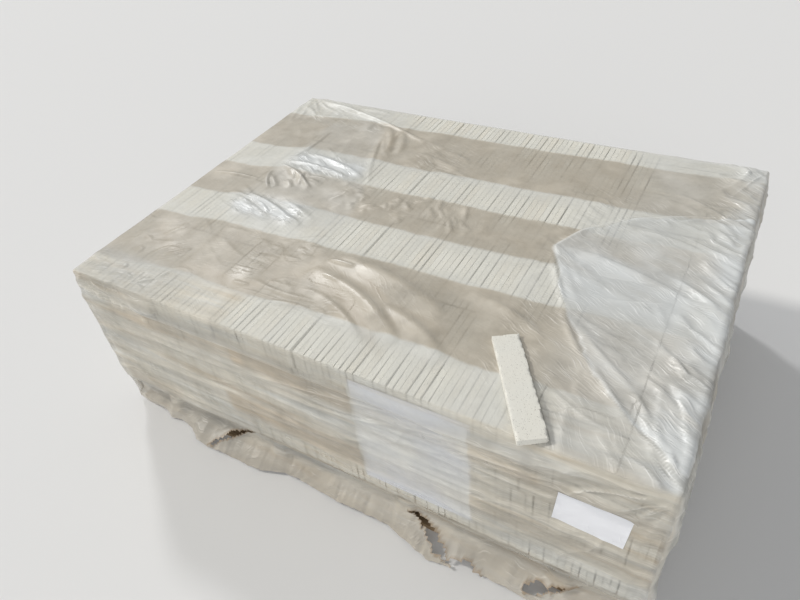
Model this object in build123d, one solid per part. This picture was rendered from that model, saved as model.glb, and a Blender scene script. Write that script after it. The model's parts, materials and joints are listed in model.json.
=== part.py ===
"""A pallet of thin bricks under a film cover, with one loose brick lying on top.

Millimetres, +Z up. The origin is the middle of the footprint, on the floor. The front of the
pack, with the white sheet, the label and the torn hem, faces -Y.
"""

import math
import os

from build123d import *

# One brick
BRICK_LENGTH = 292.0
BRICK_HEIGHT = 63.5
BRICK_THICKNESS = 16.0
BRICK_WEAR = 1.2

# How the bricks stand in a course
JOINT = 1.3
ROW_GAP = 8.0
BLOCK_GAP = 5.0
BRICKS_ACROSS = 78
ROWS = 4
COURSES = 7

# The end where each course has its turned bricks, from the lowest course up
LEFT, RIGHT = -1, 1
TURNED_ENDS = (LEFT, RIGHT, LEFT, LEFT, RIGHT, LEFT, RIGHT)

# How far brick after brick stands back from the face of the pack
SETBACKS = (0.0, 1.4, 0.5, 2.0, 0.9, 0.9, 1.6)

# Pallet
STRINGER_COUNT = 4
STRINGER_WIDTH = 38.0
STRINGER_HEIGHT = 89.0
BOARD_THICKNESS = 16.0
BOARD_WIDTH = 140.0
DECK_BOARD_COUNT = 7
BOTTOM_BOARD_COUNT = 3
PALLET_SETBACK = 8.0
WING = 150.0

# Film cover
FILM_THICKNESS = 2.0
FILM_CORNER = 3.0
FILM_BEVEL = 1.2
SEAT_GAP = 0.4
FLOOR_GAP = 1.0
HEM_HEIGHT = 60.0
HEM_FLARE = 35.0
HEM_START = 270.0
TEAR_WIDTH = 24.0

# White sheet under the film and label on it
SHEET_WIDTH = 305.0
SHEET_HEIGHT = 380.0
SHEET_THICKNESS = 0.8
SHEET_FROM_LEFT = 938.0
SHEET_TOP_DROP = 24.0
LABEL_WIDTH = 152.0
LABEL_HEIGHT = 102.0
LABEL_THICKNESS = 0.8
LABEL_FROM_RIGHT = 62.0
LABEL_TOP_DROP = 122.0
LABEL_TILT = 4.0

# Loose brick: its middle, from the front right corner of the pack, and its turn
LOOSE_FROM_RIGHT = 350.0
LOOSE_FROM_FRONT = 118.0
LOOSE_TURN = -57.2
CHIP_LENGTH = 60.0
CHIP_DEPTH = 3.0

# Sizes that follow
PITCH = BRICK_THICKNESS + JOINT
BLOCK_LENGTH = BRICKS_ACROSS * PITCH - JOINT
PACK_LENGTH = BLOCK_LENGTH + BLOCK_GAP + BRICK_LENGTH
PACK_DEPTH = ROWS * BRICK_LENGTH + (ROWS - 1) * ROW_GAP
TURNED_COUNT = int((PACK_DEPTH + JOINT) // PITCH)
TURNED_PITCH = (PACK_DEPTH - BRICK_THICKNESS) / (TURNED_COUNT - 1)
STRINGER_BOTTOM = BOARD_THICKNESS
DECK_BOTTOM = STRINGER_BOTTOM + STRINGER_HEIGHT
BRICK_BOTTOM = DECK_BOTTOM + BOARD_THICKNESS
BRICK_TOP = BRICK_BOTTOM + COURSES * BRICK_HEIGHT
PALLET_LENGTH = PACK_LENGTH - 2 * PALLET_SETBACK
PALLET_DEPTH = PACK_DEPTH - 2 * PALLET_SETBACK
FILM_GAP = SHEET_THICKNESS + 2 * SEAT_GAP
FILM_LENGTH = PACK_LENGTH + 2 * (FILM_GAP + FILM_THICKNESS)
FILM_DEPTH = PACK_DEPTH + 2 * (FILM_GAP + FILM_THICKNESS)
FILM_TOP = BRICK_TOP + SEAT_GAP + FILM_THICKNESS
FILM_LEFT = -FILM_LENGTH / 2
FILM_FRONT = -FILM_DEPTH / 2

# The torn hem stands forward of the pack, so the pack lies half its flare behind the origin
PACK_PLACE = Pos(0, HEM_FLARE / 2, 0)

# Tears in the hem: (start, end) as (distance from the left end, height above the floor)
TEARS = (
    ((345.0, 6.0), (508.0, 86.0)),
    ((1048.0, 70.0), (1215.0, 2.0)),
    ((1390.0, 4.0), (1512.0, 58.0)),
)


def setback(index):
    """How far the brick with this number stands back."""
    return SETBACKS[index % len(SETBACKS)]


def stepped_ends(count, pitch):
    """Corners along a row of brick ends, as (distance along the row, setback)."""
    half_joint = (pitch - BRICK_THICKNESS) / 2
    length = count * pitch - 2 * half_joint
    points = [(0.0, setback(0))]
    for i in range(1, count):
        joint = i * pitch - half_joint
        if setback(i) != setback(i - 1):
            points += [(joint, setback(i - 1)), (joint, setback(i))]
    return points + [(length, setback(count - 1))]


def row_side(count):
    """Corners along the side of a block, where the gaps between its rows cut in."""
    points = []
    for row in range(count):
        start = row * (BRICK_LENGTH + ROW_GAP)
        if row:
            points.append((start, BRICK_THICKNESS))
            points.append((start, 0.0))
        points.append((start + BRICK_LENGTH, 0.0))
        if row < count - 1:
            points.append((start + BRICK_LENGTH, BRICK_THICKNESS))
    return points


def solid_block():
    """The bricks that lie front to back in one lower course, as one solid."""
    ends = stepped_ends(BRICKS_ACROSS, PITCH)
    sides = row_side(ROWS)[:-1]
    front = [(x, back) for x, back in ends]
    right = [(BLOCK_LENGTH - cut, y) for y, cut in sides]
    rear = [(x, PACK_DEPTH - back) for x, back in reversed(ends)]
    left = [(cut, y) for y, cut in reversed(sides)]
    outline = Polyline(*front, *right, *rear, *left, close=True)
    return extrude(make_face(outline), BRICK_HEIGHT)


def solid_turned_column():
    """The turned bricks at the end of one lower course, as one solid, ends to +X."""
    ends = stepped_ends(TURNED_COUNT, TURNED_PITCH)
    outline = Polyline((0, 0), *((BRICK_LENGTH - back, y) for y, back in ends), (0, PACK_DEPTH), close=True)
    return extrude(make_face(outline), BRICK_HEIGHT)


def single_brick():
    """One brick on its long edge, from the origin, lying front to back."""
    return Box(BRICK_THICKNESS, BRICK_LENGTH, BRICK_HEIGHT, align=(Align.MIN, Align.MIN, Align.MIN))


def loose_block():
    """The bricks that lie front to back in the top course, each a solid of its own."""
    bricks = []
    brick = single_brick()
    for row in range(ROWS):
        for i in range(BRICKS_ACROSS):
            inward = setback(i + row) if row < ROWS / 2 else -setback(i + row)
            bricks.append(Pos(i * PITCH, row * (BRICK_LENGTH + ROW_GAP) + inward, 0) * brick)
    return bricks


def loose_turned_column():
    """The turned bricks of the top course, each a solid of its own, ends to +X."""
    brick = Rot(0, 0, -90) * Pos(-BRICK_THICKNESS, 0, 0) * single_brick()
    return [Pos(-setback(i), i * TURNED_PITCH, 0) * brick for i in range(TURNED_COUNT)]


def course(number):
    """One course, number 0 lowest. Its turned bricks are at one end or the other."""
    top = number == COURSES - 1
    block = loose_block() if top else [solid_block()]
    turned = loose_turned_column() if top else [solid_turned_column()]
    block = [Pos(-PACK_LENGTH / 2, 0, 0) * brick for brick in block]
    turned = [Pos(PACK_LENGTH / 2 - BRICK_LENGTH, 0, 0) * brick for brick in turned]
    base = Pos(0, -PACK_DEPTH / 2, BRICK_BOTTOM + number * BRICK_HEIGHT)
    if TURNED_ENDS[number % len(TURNED_ENDS)] == LEFT:
        half_turn = Rot(0, 0, 180)
        base = Pos(0, PACK_DEPTH / 2, BRICK_BOTTOM + number * BRICK_HEIGHT) * half_turn
    return Compound([base * brick for brick in block + turned])


def stringers():
    """The beams that carry the deck, front to back, set in by the wings."""
    run = PALLET_LENGTH - 2 * WING - STRINGER_WIDTH
    step = run / (STRINGER_COUNT - 1)
    beam = Box(STRINGER_WIDTH, PALLET_DEPTH, STRINGER_HEIGHT, align=(Align.CENTER, Align.CENTER, Align.MIN))
    return [Pos(-run / 2 + i * step, 0, STRINGER_BOTTOM) * beam for i in range(STRINGER_COUNT)]


def boards(count, height):
    """Boards along the pallet at one height, spread evenly from front to back."""
    run = PALLET_DEPTH - BOARD_WIDTH
    board = Box(PALLET_LENGTH, BOARD_WIDTH, BOARD_THICKNESS, align=(Align.CENTER, Align.CENTER, Align.MIN))
    return [Pos(0, -run / 2 + i * run / (count - 1), height) * board for i in range(count)]


def rounded_box(length, depth, bottom, top, radius, bevel):
    """A box with its upright edges rounded and its top edges bevelled."""
    box = Pos(0, 0, bottom) * extrude(RectangleRounded(length, depth, radius), top - bottom)
    return chamfer(box.edges().group_by(Axis.Z)[-1], bevel)


def tear(start, end):
    """A cutter for one slanting tear through the front of the film."""
    middle = ((start[0] + end[0]) / 2, (start[1] + end[1]) / 2)
    run = math.hypot(end[0] - start[0], end[1] - start[1])
    across = (-(end[1] - start[1]) / run * TEAR_WIDTH / 2, (end[0] - start[0]) / run * TEAR_WIDTH / 2)
    above = (middle[0] + across[0], middle[1] + across[1])
    below = (middle[0] - across[0], middle[1] - across[1])
    outline = [(FILM_LEFT + x, z) for x, z in (start, above, end, below)]
    reach = HEM_FLARE + 2 * FILM_THICKNESS
    cutter = extrude(Plane.XZ * make_face(Polyline(*outline, close=True)), reach, both=True)
    return Pos(0, FILM_FRONT - HEM_FLARE / 2, 0) * cutter


def hem():
    """The lower edge of the film, which stands forward of the pack along most of the front."""
    slope = [
        (FILM_FRONT, HEM_HEIGHT),
        (FILM_FRONT + FILM_THICKNESS, HEM_HEIGHT),
        (FILM_FRONT + FILM_THICKNESS - HEM_FLARE, FLOOR_GAP),
        (FILM_FRONT - HEM_FLARE, FLOOR_GAP),
    ]
    length = FILM_LENGTH - HEM_START - FILM_CORNER - FILM_THICKNESS
    section = Plane.YZ * make_face(Polyline(*slope, close=True))
    return Pos(FILM_LEFT + HEM_START, 0, 0) * extrude(section, length)


def film_cover():
    """The film: a thin open-bottomed cover with a flared, torn hem at the front."""
    outer = rounded_box(
        FILM_LENGTH,
        FILM_DEPTH,
        FLOOR_GAP,
        FILM_TOP,
        FILM_CORNER + FILM_THICKNESS,
        FILM_BEVEL + FILM_THICKNESS,
    )
    inner = rounded_box(
        FILM_LENGTH - 2 * FILM_THICKNESS,
        FILM_DEPTH - 2 * FILM_THICKNESS,
        0,
        FILM_TOP - FILM_THICKNESS,
        FILM_CORNER,
        FILM_BEVEL,
    )
    cover = outer - inner
    open_length = FILM_LENGTH - HEM_START - FILM_CORNER - FILM_THICKNESS
    window = Box(open_length, 4 * FILM_THICKNESS, 2 * HEM_HEIGHT, align=(Align.MIN, Align.CENTER, Align.CENTER))
    cover -= Pos(FILM_LEFT + HEM_START, FILM_FRONT + FILM_THICKNESS / 2, 0) * window
    cover += hem()
    for start, end in TEARS:
        cover -= tear(start, end)
    return cover


def white_sheet():
    """The plain sheet that lies flat between the bricks and the film."""
    x = FILM_LEFT + SHEET_FROM_LEFT + SHEET_WIDTH / 2
    z = BRICK_TOP - SHEET_TOP_DROP - SHEET_HEIGHT / 2
    y = -PACK_DEPTH / 2 - SEAT_GAP - SHEET_THICKNESS / 2
    return Pos(x, y, z) * Box(SHEET_WIDTH, SHEET_THICKNESS, SHEET_HEIGHT)


def label():
    """The plain label on the outside of the film, a little askew."""
    x = FILM_LEFT + FILM_LENGTH - LABEL_FROM_RIGHT - LABEL_WIDTH / 2
    z = BRICK_TOP - LABEL_TOP_DROP - LABEL_HEIGHT / 2
    y = FILM_FRONT - SEAT_GAP - LABEL_THICKNESS / 2
    return Pos(x, y, z) * Rot(0, LABEL_TILT, 0) * Box(LABEL_WIDTH, LABEL_THICKNESS, LABEL_HEIGHT)


def loose_brick():
    """The brick that lies flat on the film, with worn edges and one chipped side."""
    brick = Box(BRICK_LENGTH, BRICK_HEIGHT, BRICK_THICKNESS, align=(Align.CENTER, Align.CENTER, Align.MIN))
    brick = chamfer(brick.edges().group_by(Axis.Z)[-1], BRICK_WEAR)
    chip = Box(CHIP_LENGTH, 2 * CHIP_DEPTH, 2 * CHIP_DEPTH)
    brick -= Pos(BRICK_LENGTH / 4, BRICK_HEIGHT / 2, BRICK_THICKNESS) * Rot(45, 0, 0) * chip
    x = -FILM_LEFT - LOOSE_FROM_RIGHT
    y = FILM_FRONT + LOOSE_FROM_FRONT
    return Pos(x, y, FILM_TOP + SEAT_GAP) * Rot(0, 0, LOOSE_TURN) * brick


def pieces():
    """Every piece of the pack by name."""
    made = {f"brick_course_{n + 1}": course(n) for n in range(COURSES)}
    made |= {f"pallet_stringer_{i + 1}": beam for i, beam in enumerate(stringers())}
    deck = boards(DECK_BOARD_COUNT, DECK_BOTTOM)
    made |= {f"pallet_deck_board_{i + 1}": board for i, board in enumerate(deck)}
    bottom = boards(BOTTOM_BOARD_COUNT, 0)
    made |= {f"pallet_bottom_board_{i + 1}": board for i, board in enumerate(bottom)}
    made["film_cover"] = film_cover()
    made["white_sheet"] = white_sheet()
    made["label"] = label()
    made["loose_brick"] = loose_brick()
    return made


os.makedirs("parts", exist_ok=True)
for name, shape in pieces().items():
    export_step(PACK_PLACE * shape, f"parts/{name}.step")
print("pack", PACK_LENGTH, "x", PACK_DEPTH, "x", FILM_TOP)
print("bricks", COURSES * (BRICKS_ACROSS * ROWS + TURNED_COUNT) + 1)
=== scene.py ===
"""Dresses a pallet of thin bricks: real bricks, a wrinkled striped film with a torn hem, paper and wood."""

import json
import math

import bmesh
import bpy
import numpy as np
from bpy.props import FloatProperty, FloatVectorProperty, IntProperty, PointerProperty
from mathutils import Euler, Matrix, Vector

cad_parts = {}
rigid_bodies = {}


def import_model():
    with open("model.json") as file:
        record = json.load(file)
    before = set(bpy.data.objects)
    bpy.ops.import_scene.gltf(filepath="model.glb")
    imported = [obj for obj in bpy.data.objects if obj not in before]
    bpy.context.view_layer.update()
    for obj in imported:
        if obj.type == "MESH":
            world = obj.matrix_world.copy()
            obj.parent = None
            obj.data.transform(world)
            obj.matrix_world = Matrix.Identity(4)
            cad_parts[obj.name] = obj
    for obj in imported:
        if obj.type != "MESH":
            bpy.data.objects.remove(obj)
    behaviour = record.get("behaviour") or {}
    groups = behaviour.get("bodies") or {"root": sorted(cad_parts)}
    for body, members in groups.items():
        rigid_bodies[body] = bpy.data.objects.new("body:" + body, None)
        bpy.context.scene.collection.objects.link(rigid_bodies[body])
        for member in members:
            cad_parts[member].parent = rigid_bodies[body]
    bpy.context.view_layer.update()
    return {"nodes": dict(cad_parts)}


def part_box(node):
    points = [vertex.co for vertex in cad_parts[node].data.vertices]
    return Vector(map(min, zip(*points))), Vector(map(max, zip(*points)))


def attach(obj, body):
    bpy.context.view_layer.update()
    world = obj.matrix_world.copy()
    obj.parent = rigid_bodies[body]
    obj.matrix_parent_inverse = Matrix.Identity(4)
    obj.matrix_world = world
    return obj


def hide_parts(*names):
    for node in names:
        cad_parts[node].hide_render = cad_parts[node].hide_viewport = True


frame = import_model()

bl_info = {
    "name": "Brick Pallet",
    "version": (1, 0, 0),
    "blender": (4, 5, 0),
    "location": "3D View > Sidebar > Brick Pallet",
    "description": "Makes the bricks, film, papers and stage of a wrapped pallet of thin bricks",
    "category": "Object",
}

COURSES = sorted(name for name in frame["nodes"] if name.startswith("brick_course_"))
TOP_LOW, TOP_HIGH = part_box(COURSES[-1])
BOTTOM_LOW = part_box(COURSES[0])[0]
BRICK_HEIGHT = TOP_HIGH.z - TOP_LOW.z
PACK_LENGTH = TOP_HIGH.x - TOP_LOW.x
PACK_DEPTH = TOP_HIGH.y - TOP_LOW.y
FLOOR_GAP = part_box("film_cover")[0].z

# The end where each course has its turned bricks, from the lowest course up
LEFT, RIGHT = -1, 1
TURNED_ENDS = (LEFT, RIGHT, LEFT, LEFT, RIGHT, LEFT, RIGHT)


def colour(red, green, blue):
    """A linear colour from the three numbers of a paint chart, 0 to 255."""
    parts = [part / 255 for part in (red, green, blue)]
    return tuple(part / 12.92 if part <= 0.04045 else ((part + 0.055) / 1.055) ** 2.4 for part in parts)


def length_property(name, text, default):
    return FloatProperty(name=name, description=text, default=default, min=0, unit="LENGTH", precision=4)


def share_property(name, text, default):
    return FloatProperty(name=name, description=text, default=default, min=0, max=1, subtype="FACTOR")


def colour_property(name, text, default):
    return FloatVectorProperty(
        name=name, description=text, default=default, size=3, min=0, max=1, subtype="COLOR"
    )


class BRICKPACK_PG_bricks(bpy.types.PropertyGroup):
    """Sizes and colours of the bricks."""

    length: length_property("Length", "Length of one brick", 0.292)
    thickness: length_property("Thickness", "Thickness of one brick", 0.016)
    joint: length_property("Joint", "Mean gap between two bricks side by side", 0.0013)
    row_gap: length_property("Row gap", "Gap between two rows", 0.008)
    across: IntProperty(name="Across", description="Bricks side by side in a row", default=78, min=1)
    rows: IntProperty(name="Rows", description="Rows from front to back", default=4, min=1)
    cluster: IntProperty(name="Cluster", description="Bricks that stand close together", default=5, min=1)
    squeeze: length_property("Squeeze", "How much closer the bricks of a cluster stand", 0.0005)
    shift: length_property("Shift", "How far a brick stands back out of line", 0.0020)
    sway: length_property("Sway", "How far a brick stands to one side of its place", 0.0002)
    body: colour_property("Body", "Fired clay", colour(226, 225, 217))
    warm: colour_property("Warm tint", "Warmer bricks among the rest", colour(222, 215, 199))
    speck: colour_property("Specks", "Dark specks and pits in the clay", colour(104, 96, 84))


class BRICKPACK_PG_film(bpy.types.PropertyGroup):
    """Shape and colours of the film."""

    grid: length_property("Grid", "Distance between the lines of the film's mesh", 0.0046)
    gap: length_property("Gap", "How far the film stands off the bricks", 0.0022)
    corner: length_property("Corner", "Radius of the film over an edge of the pack", 0.006)
    looseness: length_property("Looseness", "Height of the slack film between the folds", 0.0012)
    stripe: colour_property("Stripe", "Tan print", colour(190, 183, 169))
    cream: colour_property("Cream film", "Yellowed bands of the clear film", colour(232, 223, 204))
    buff: colour_property("Buff film", "Tan areas of the film in front", colour(206, 189, 163))
    clear: colour_property("Clear film", "Light from the clear film itself", colour(226, 226, 220))
    milky: colour_property("Milky film", "Doubled and crumpled film", colour(205, 208, 208))
    hem: colour_property("Hem", "Dusty lower edge", colour(180, 172, 159))
    # Brown of the torn rims: partly the film's own torn edge, partly painted shade inside the tears
    torn: colour_property("Torn edge", "Rim of the tears", colour(156, 138, 115))
    # Also the painted shade in the valleys on top, and the darkening near the floor
    smudge_and_shade: colour_property("Smudges", "Darker, dusty print", colour(152, 140, 120))
    # Painted shade: grey of the film where it is drawn in, beside folds and in bands along the sides
    hollow: colour_property("Hollows", "Film drawn in between the bricks", colour(146, 145, 140))
    clear_cover: share_property("Clear cover", "How much the clear film hides", 0.54)
    stripe_cover: share_property("Stripe cover", "How much the print hides", 0.76)
    milky_cover: share_property("Milky cover", "How much the milky film hides", 0.62)


class BRICKPACK_PG_papers(bpy.types.PropertyGroup):
    """Colours of the plain sheet and the label."""

    sheet: colour_property("Sheet", "Paper under the film", colour(226, 230, 240))
    label: colour_property("Label", "Label on the film", colour(238, 239, 243))
    curl: length_property("Curl", "Height of the creases in the paper", 0.0012)


class BRICKPACK_PG_stage(bpy.types.PropertyGroup):
    """Camera and light."""

    lens: FloatProperty(name="Lens", description="Focal length", default=28.85, unit="CAMERA")
    floor: colour_property("Floor", "Plain pale floor", (0.72, 0.72, 0.72))


# Noise and masks for the film


def cells(a, b, c):
    """Points for the noise, as an (n, 3) array, from three places measured in cells."""
    return np.stack(np.broadcast_arrays(a, b, c), axis=1)


def smooth_noise(points, seed):
    """Smooth noise from -1 to 1 at points measured in cells, as an (n, 3) array."""
    cell = np.floor(points).astype(np.int64)
    part = points - cell
    part = part * part * (3 - 2 * part)
    total = np.zeros(len(points))
    for corner in np.ndindex(2, 2, 2):
        code = seed * 2654435
        for axis, factor in enumerate(SCATTER):
            code = code ^ ((cell[:, axis] + corner[axis]) * factor)
        code = ((code ^ (code >> 13)) * 1274126177) & 0xFFFFFFFF
        value = ((code ^ (code >> 16)) & 0xFFFF) / 32767.5 - 1
        total += np.prod(np.where(corner, part, 1 - part), axis=1) * value
    return total


# Large odd numbers that scatter the cells of the noise
SCATTER = (73856093, 19349663, 83492791)


def stretched_noise(a, b, angle, long_cell, short_cell, seed):
    """Noise on a face, drawn out in one direction. a and b are metres on the face, angle is in degrees."""
    turn = math.radians(angle)
    along = (a * math.cos(turn) + b * math.sin(turn)) / long_cell
    aside = (b * math.cos(turn) - a * math.sin(turn)) / short_cell
    return smooth_noise(cells(along, aside, seed * SEED_STEP), seed)


# How far apart the slices of noise of two seeds that follow each other lie, in cells
SEED_STEP = 0.37


def crests(a, b, *grain):
    """Rounded gathers from 0 to 1, along the lines where stretched noise changes its sign."""
    return 1 - np.abs(stretched_noise(a, b, *grain))


def ridges(a, b, angle, long_cell, short_cell, seed):
    """Creases from 0 to 1, sharp along their tops, drawn out in one direction."""
    coarse = crests(a, b, angle, long_cell, short_cell, seed)
    fine = crests(a, b, angle + 9, long_cell / 2, short_cell / 2, seed + 7)
    return np.clip(coarse**3 * 0.7 + fine**3 * 0.3, 0, 1)


def ramp(value, low, high):
    """0 below low, 1 above high, smooth between."""
    part = np.clip((value - low) / (high - low), 0, 1)
    return part * part * (3 - 2 * part)


def band(value, low, high, soft):
    """1 between low and high, fading to 0 over soft metres to each side of both."""
    return ramp(value, low - soft, low + soft) * (1 - ramp(value, high - soft, high + soft))


def patch(a, b, box, soft):
    """1 inside a box (a from, a to, b from, b to), with soft edges."""
    return band(a, box[0], box[1], soft) * band(b, box[2], box[3], soft)


def patches(a, b, areas):
    """The sum of soft patches, each of them a strength, a box and the softness of its edges."""
    return sum(strength * patch(a, b, box, soft) for strength, box, soft in areas)


def beside(a, b, start, end):
    """How far along a line points lie, 0 to 1 from start to end, and how far to its left in metres."""
    run = math.hypot(end[0] - start[0], end[1] - start[1])
    along = ((end[0] - start[0]) / run, (end[1] - start[1]) / run)
    part = ((a - start[0]) * along[0] + (b - start[1]) * along[1]) / run
    return part, (b - start[1]) * along[0] - (a - start[0]) * along[1]


def fold(a, b, start, end, bow, height, width):
    """One rounded fold from start to end, bowed to its left by bow and steeper there, on points (a, b)."""
    part, aside = beside(a, b, start, end)
    arch = np.clip(4 * part * (1 - part), 0, 1)
    aside = aside - bow * arch
    reach = np.where(aside > 0, 0.8, 1.5) * width
    return height * arch**0.7 / (1 + (aside / reach) ** 2) ** 2


def radiating(a, b, centre, reach, spacing, seed):
    """Soft ribs, 0 to 1, that spread from a corner of the pack, spacing degrees apart, fading over reach."""
    far = np.hypot(a - centre[0], b - centre[1])
    turn = np.degrees(np.arctan2(b - centre[1], a - centre[0]))
    turn += 6 * smooth_noise(cells(a / 0.10, b / 0.10, 3.3), seed + 1)
    soft = (1 - np.abs(smooth_noise(cells(turn / spacing, far / 0.16, seed * SEED_STEP), seed))) ** 3
    return soft * np.exp(-far / reach) * ramp(far, 0.02, 0.10)


def spreads(a, b, rows):
    """Ribs from several corners: each row is their height, then centre, reach, spacing and seed."""
    return sum(height * radiating(a, b, *spread) for height, *spread in rows)


def strewn(a, b, zones, seed):
    """Short creases strewn over zones of slack film. Each zone gives its box, number, angle and spread in
    degrees, the length, height and width of its creases, and how many small wrinkles it has."""
    draw = np.random.default_rng(seed)
    total = np.zeros_like(a)
    for (a_from, a_to, b_from, b_to), number, angle, spread, length, height, width, _ in zones:
        for _ in range(number):
            middle = (draw.uniform(a_from, a_to), draw.uniform(b_from, b_to))
            turn = math.radians(angle + draw.normal(0, spread))
            half = length / 2 * draw.uniform(0.4, 1.6)
            step = (half * math.cos(turn), half * math.sin(turn))
            tall, bow = height * draw.uniform(0.25, 1.0), draw.normal(0, 0.07) * length
            reach = half + 5 * width
            near = np.nonzero((np.abs(a - middle[0]) < reach) & (np.abs(b - middle[1]) < reach))[0]
            start = (middle[0] - step[0], middle[1] - step[1])
            end = (middle[0] + step[0], middle[1] + step[1])
            crease = fold(a[near], b[near], start, end, bow, tall, width * draw.uniform(0.8, 1.6))
            total[near] = np.maximum(total[near], crease)
    return total


def small_wrinkles(u, v, z, share):
    """How many small wrinkles the film has, 0 to 1, and which way they run on the flat film, in radians."""
    amount, turn = np.zeros_like(u), np.zeros_like(u)
    faces = (
        ("top", u, v, TOP_CREASES, False),
        ("front", u, z, FRONT_CREASES, False),
        ("back", u, z, BACK_CREASES, False),
        ("left", v, z, END_CREASES, True),
        ("right", v, z, END_CREASES, True),
    )
    for name, a, b, zones, turned_over in faces:
        for box, _, angle, _, _, _, _, small in zones:
            here = small * patch(a, b, box, 0.045) * (share[name] > 0.5)
            turn = np.where(here > amount, math.radians(90 - angle if turned_over else angle), turn)
            amount = np.maximum(amount, here)
    return amount, turn


# The film on each face of the pack, as a height off the bricks. u is the distance from the pack's left end,
# v the distance back from its front and z the height above the floor.


def slack(a, b, film, *grain):
    """Loose film in soft swells of the film's looseness."""
    return film.looseness * (1 + stretched_noise(a, b, *grain))


def swells(a, b, areas):
    """Areas of looser film: each one's height, box, softness and grain."""
    total = 0
    for height, box, soft, grain in areas:
        total = total + height * patch(a, b, box, soft) * (1 + stretched_noise(a, b, *grain))
    return total


def film_on_top(u, v, film):
    """Height of the film above its rest on top."""
    loose = slack(u, v, film, 20, 0.22, 0.12, 3) + swells(u, v, TOP_SWELLS)
    loose += 0.004 * gusset_area(u, v) * (1 + stretched_noise(u, v, -20, 0.24, 0.09, 7))
    folds = np.zeros_like(u)
    for row in TOP_FOLDS:
        folds += fold(u, v, *row) ** 3
    folds = np.maximum(np.cbrt(folds), strewn(u, v, TOP_CREASES, 11))
    gathers = crests(u, v, -38, 0.15, 0.034, 27) ** 2 + 0.35 * crests(u, v, -28, 0.09, 0.022, 28) ** 2
    rolled = ramp(u, PACK_LENGTH - 0.11, PACK_LENGTH - 0.02) * (0.001 + 0.008 * gathers)
    return loose + folds + spreads(u, v, TOP_SPREADS) + rolled


def gusset_area(u, v):
    """1 where the film is doubled at the right end: an arrowhead with its point at the left."""
    wander = 0.018 * stretched_noise(u, v, 30, 0.10, 0.06, 26)
    wander += 0.007 * stretched_noise(u, v, 40, 0.035, 0.02, 29)
    front_edge = np.interp(u, *zip(*GUSSET_FRONT)) + wander
    rear_edge = np.interp(u, *zip(*GUSSET_REAR)) + wander
    inside = ramp(v - front_edge, -0.006, 0.014) * (1 - ramp(v - rear_edge, -0.014, 0.006))
    return inside * ramp(u + wander, 1.195, 1.215)


def left_gusset_area(u, v):
    """1 where the film is doubled at the left: an area with a slanting right edge."""
    wander = 0.016 * stretched_noise(u, v, 30, 0.10, 0.06, 25)
    right_edge = np.interp(v, *zip(*LEFT_GUSSET_EDGE)) + wander
    inside = ramp(u + wander, 0.195, 0.225) * (1 - ramp(u - right_edge, -0.020, 0.010))
    return inside * ramp(v, 0.40, 0.43) * (1 - ramp(v, 1.02, 1.08))


def film_on_front(u, z, film):
    """How far the film stands out in front."""
    below = z - TOP_HIGH.z
    out = slack(u, z, film, 0, 0.25, 0.07, 41) + swells(u, z, FRONT_SWELLS)
    ledge = ramp(below, -0.078, -0.068) * (1 - ramp(u, 1.36, 1.48)) * ramp(u, 0.16, 0.26)
    out += 0.0090 * ledge * (1 - 0.7 * ramp(below, -0.06, -0.01))
    for i, line in enumerate(course_lines()):
        drawn_in = 0.6 + 0.4 * stretched_noise(u, z, 0, 0.3, 0.1, 50 + i)
        out -= 0.0018 * np.exp(-np.abs(z - line) / 0.005) * drawn_in
    folded = strewn(u, z, FRONT_CREASES, 43) + spreads(u, z, FRONT_SPREADS)
    return out + folded * (1 - 0.85 * patch(u, z, front_box("label"), 0.012))


def front_box(name):
    """The box of a CAD node on the front of the pack: from and to along u, then along z."""
    low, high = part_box(name)
    return low.x - TOP_LOW.x, high.x - TOP_LOW.x, low.z, high.z


def course_lines():
    """Heights of the bed lines between the courses."""
    return [BOTTOM_LOW.z + BRICK_HEIGHT * i for i in range(1, len(COURSES))]


def pulled_in(u, z):
    """How far the film is drawn in below the bricks, between the stringers of the pallet."""
    below = 1 - ramp(z, BOTTOM_LOW.z - 0.016, BOTTOM_LOW.z + 0.002)
    held_out = np.zeros_like(u)
    for name in frame["nodes"]:
        if name.startswith("pallet_stringer_"):
            left, right, _, _ = front_box(name)
            held_out = np.maximum(held_out, np.exp(-(((u - (left + right) / 2) / 0.030) ** 4)))
    bay = ramp(z, 0.015, 0.045) * (0.020 - 0.013 * held_out)
    return below * (0.004 + bay)


def flare(u, z):
    """How far the loose hem stands forward over the floor."""
    ripple = 0.005 * stretched_noise(u, z, 90, 0.3, 0.09, 41)
    crushed = 0.004 * ridges(u, z, 6, 0.20, 0.020, 43) + 0.003 * ridges(u, z, 40, 0.10, 0.020, 44)
    crushed *= ramp(u, 0.0, 0.1) * (1 - ramp(z, 0.06, 0.095)) * (1 - ramp(u, PACK_LENGTH - 0.05, PACK_LENGTH))
    reach = np.interp(u, *zip(*HEM_REACH)) + ripple * ramp(u, 0.15, 0.25)
    return np.clip(1 - z / HEM_TOP, 0, 1) ** 1.3 * np.maximum(reach, 0) + crushed


def ragged_edge(u, v):
    """How high the torn lower edge stands above the floor."""
    places = cells(u / 0.045, v / 0.045, 0)
    return np.abs(smooth_noise(places, 63)) * 0.010 + np.abs(smooth_noise(places * 3.4, 64)) * 0.004


def film_on_back(u, z, film):
    """How far the film stands out behind."""
    out = slack(u, z, film, 0, 0.25, 0.08, 71) + swells(u, z, BACK_SWELLS)
    return out + strewn(u, z, BACK_CREASES, 73) + spreads(u, z, BACK_SPREADS)


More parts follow.
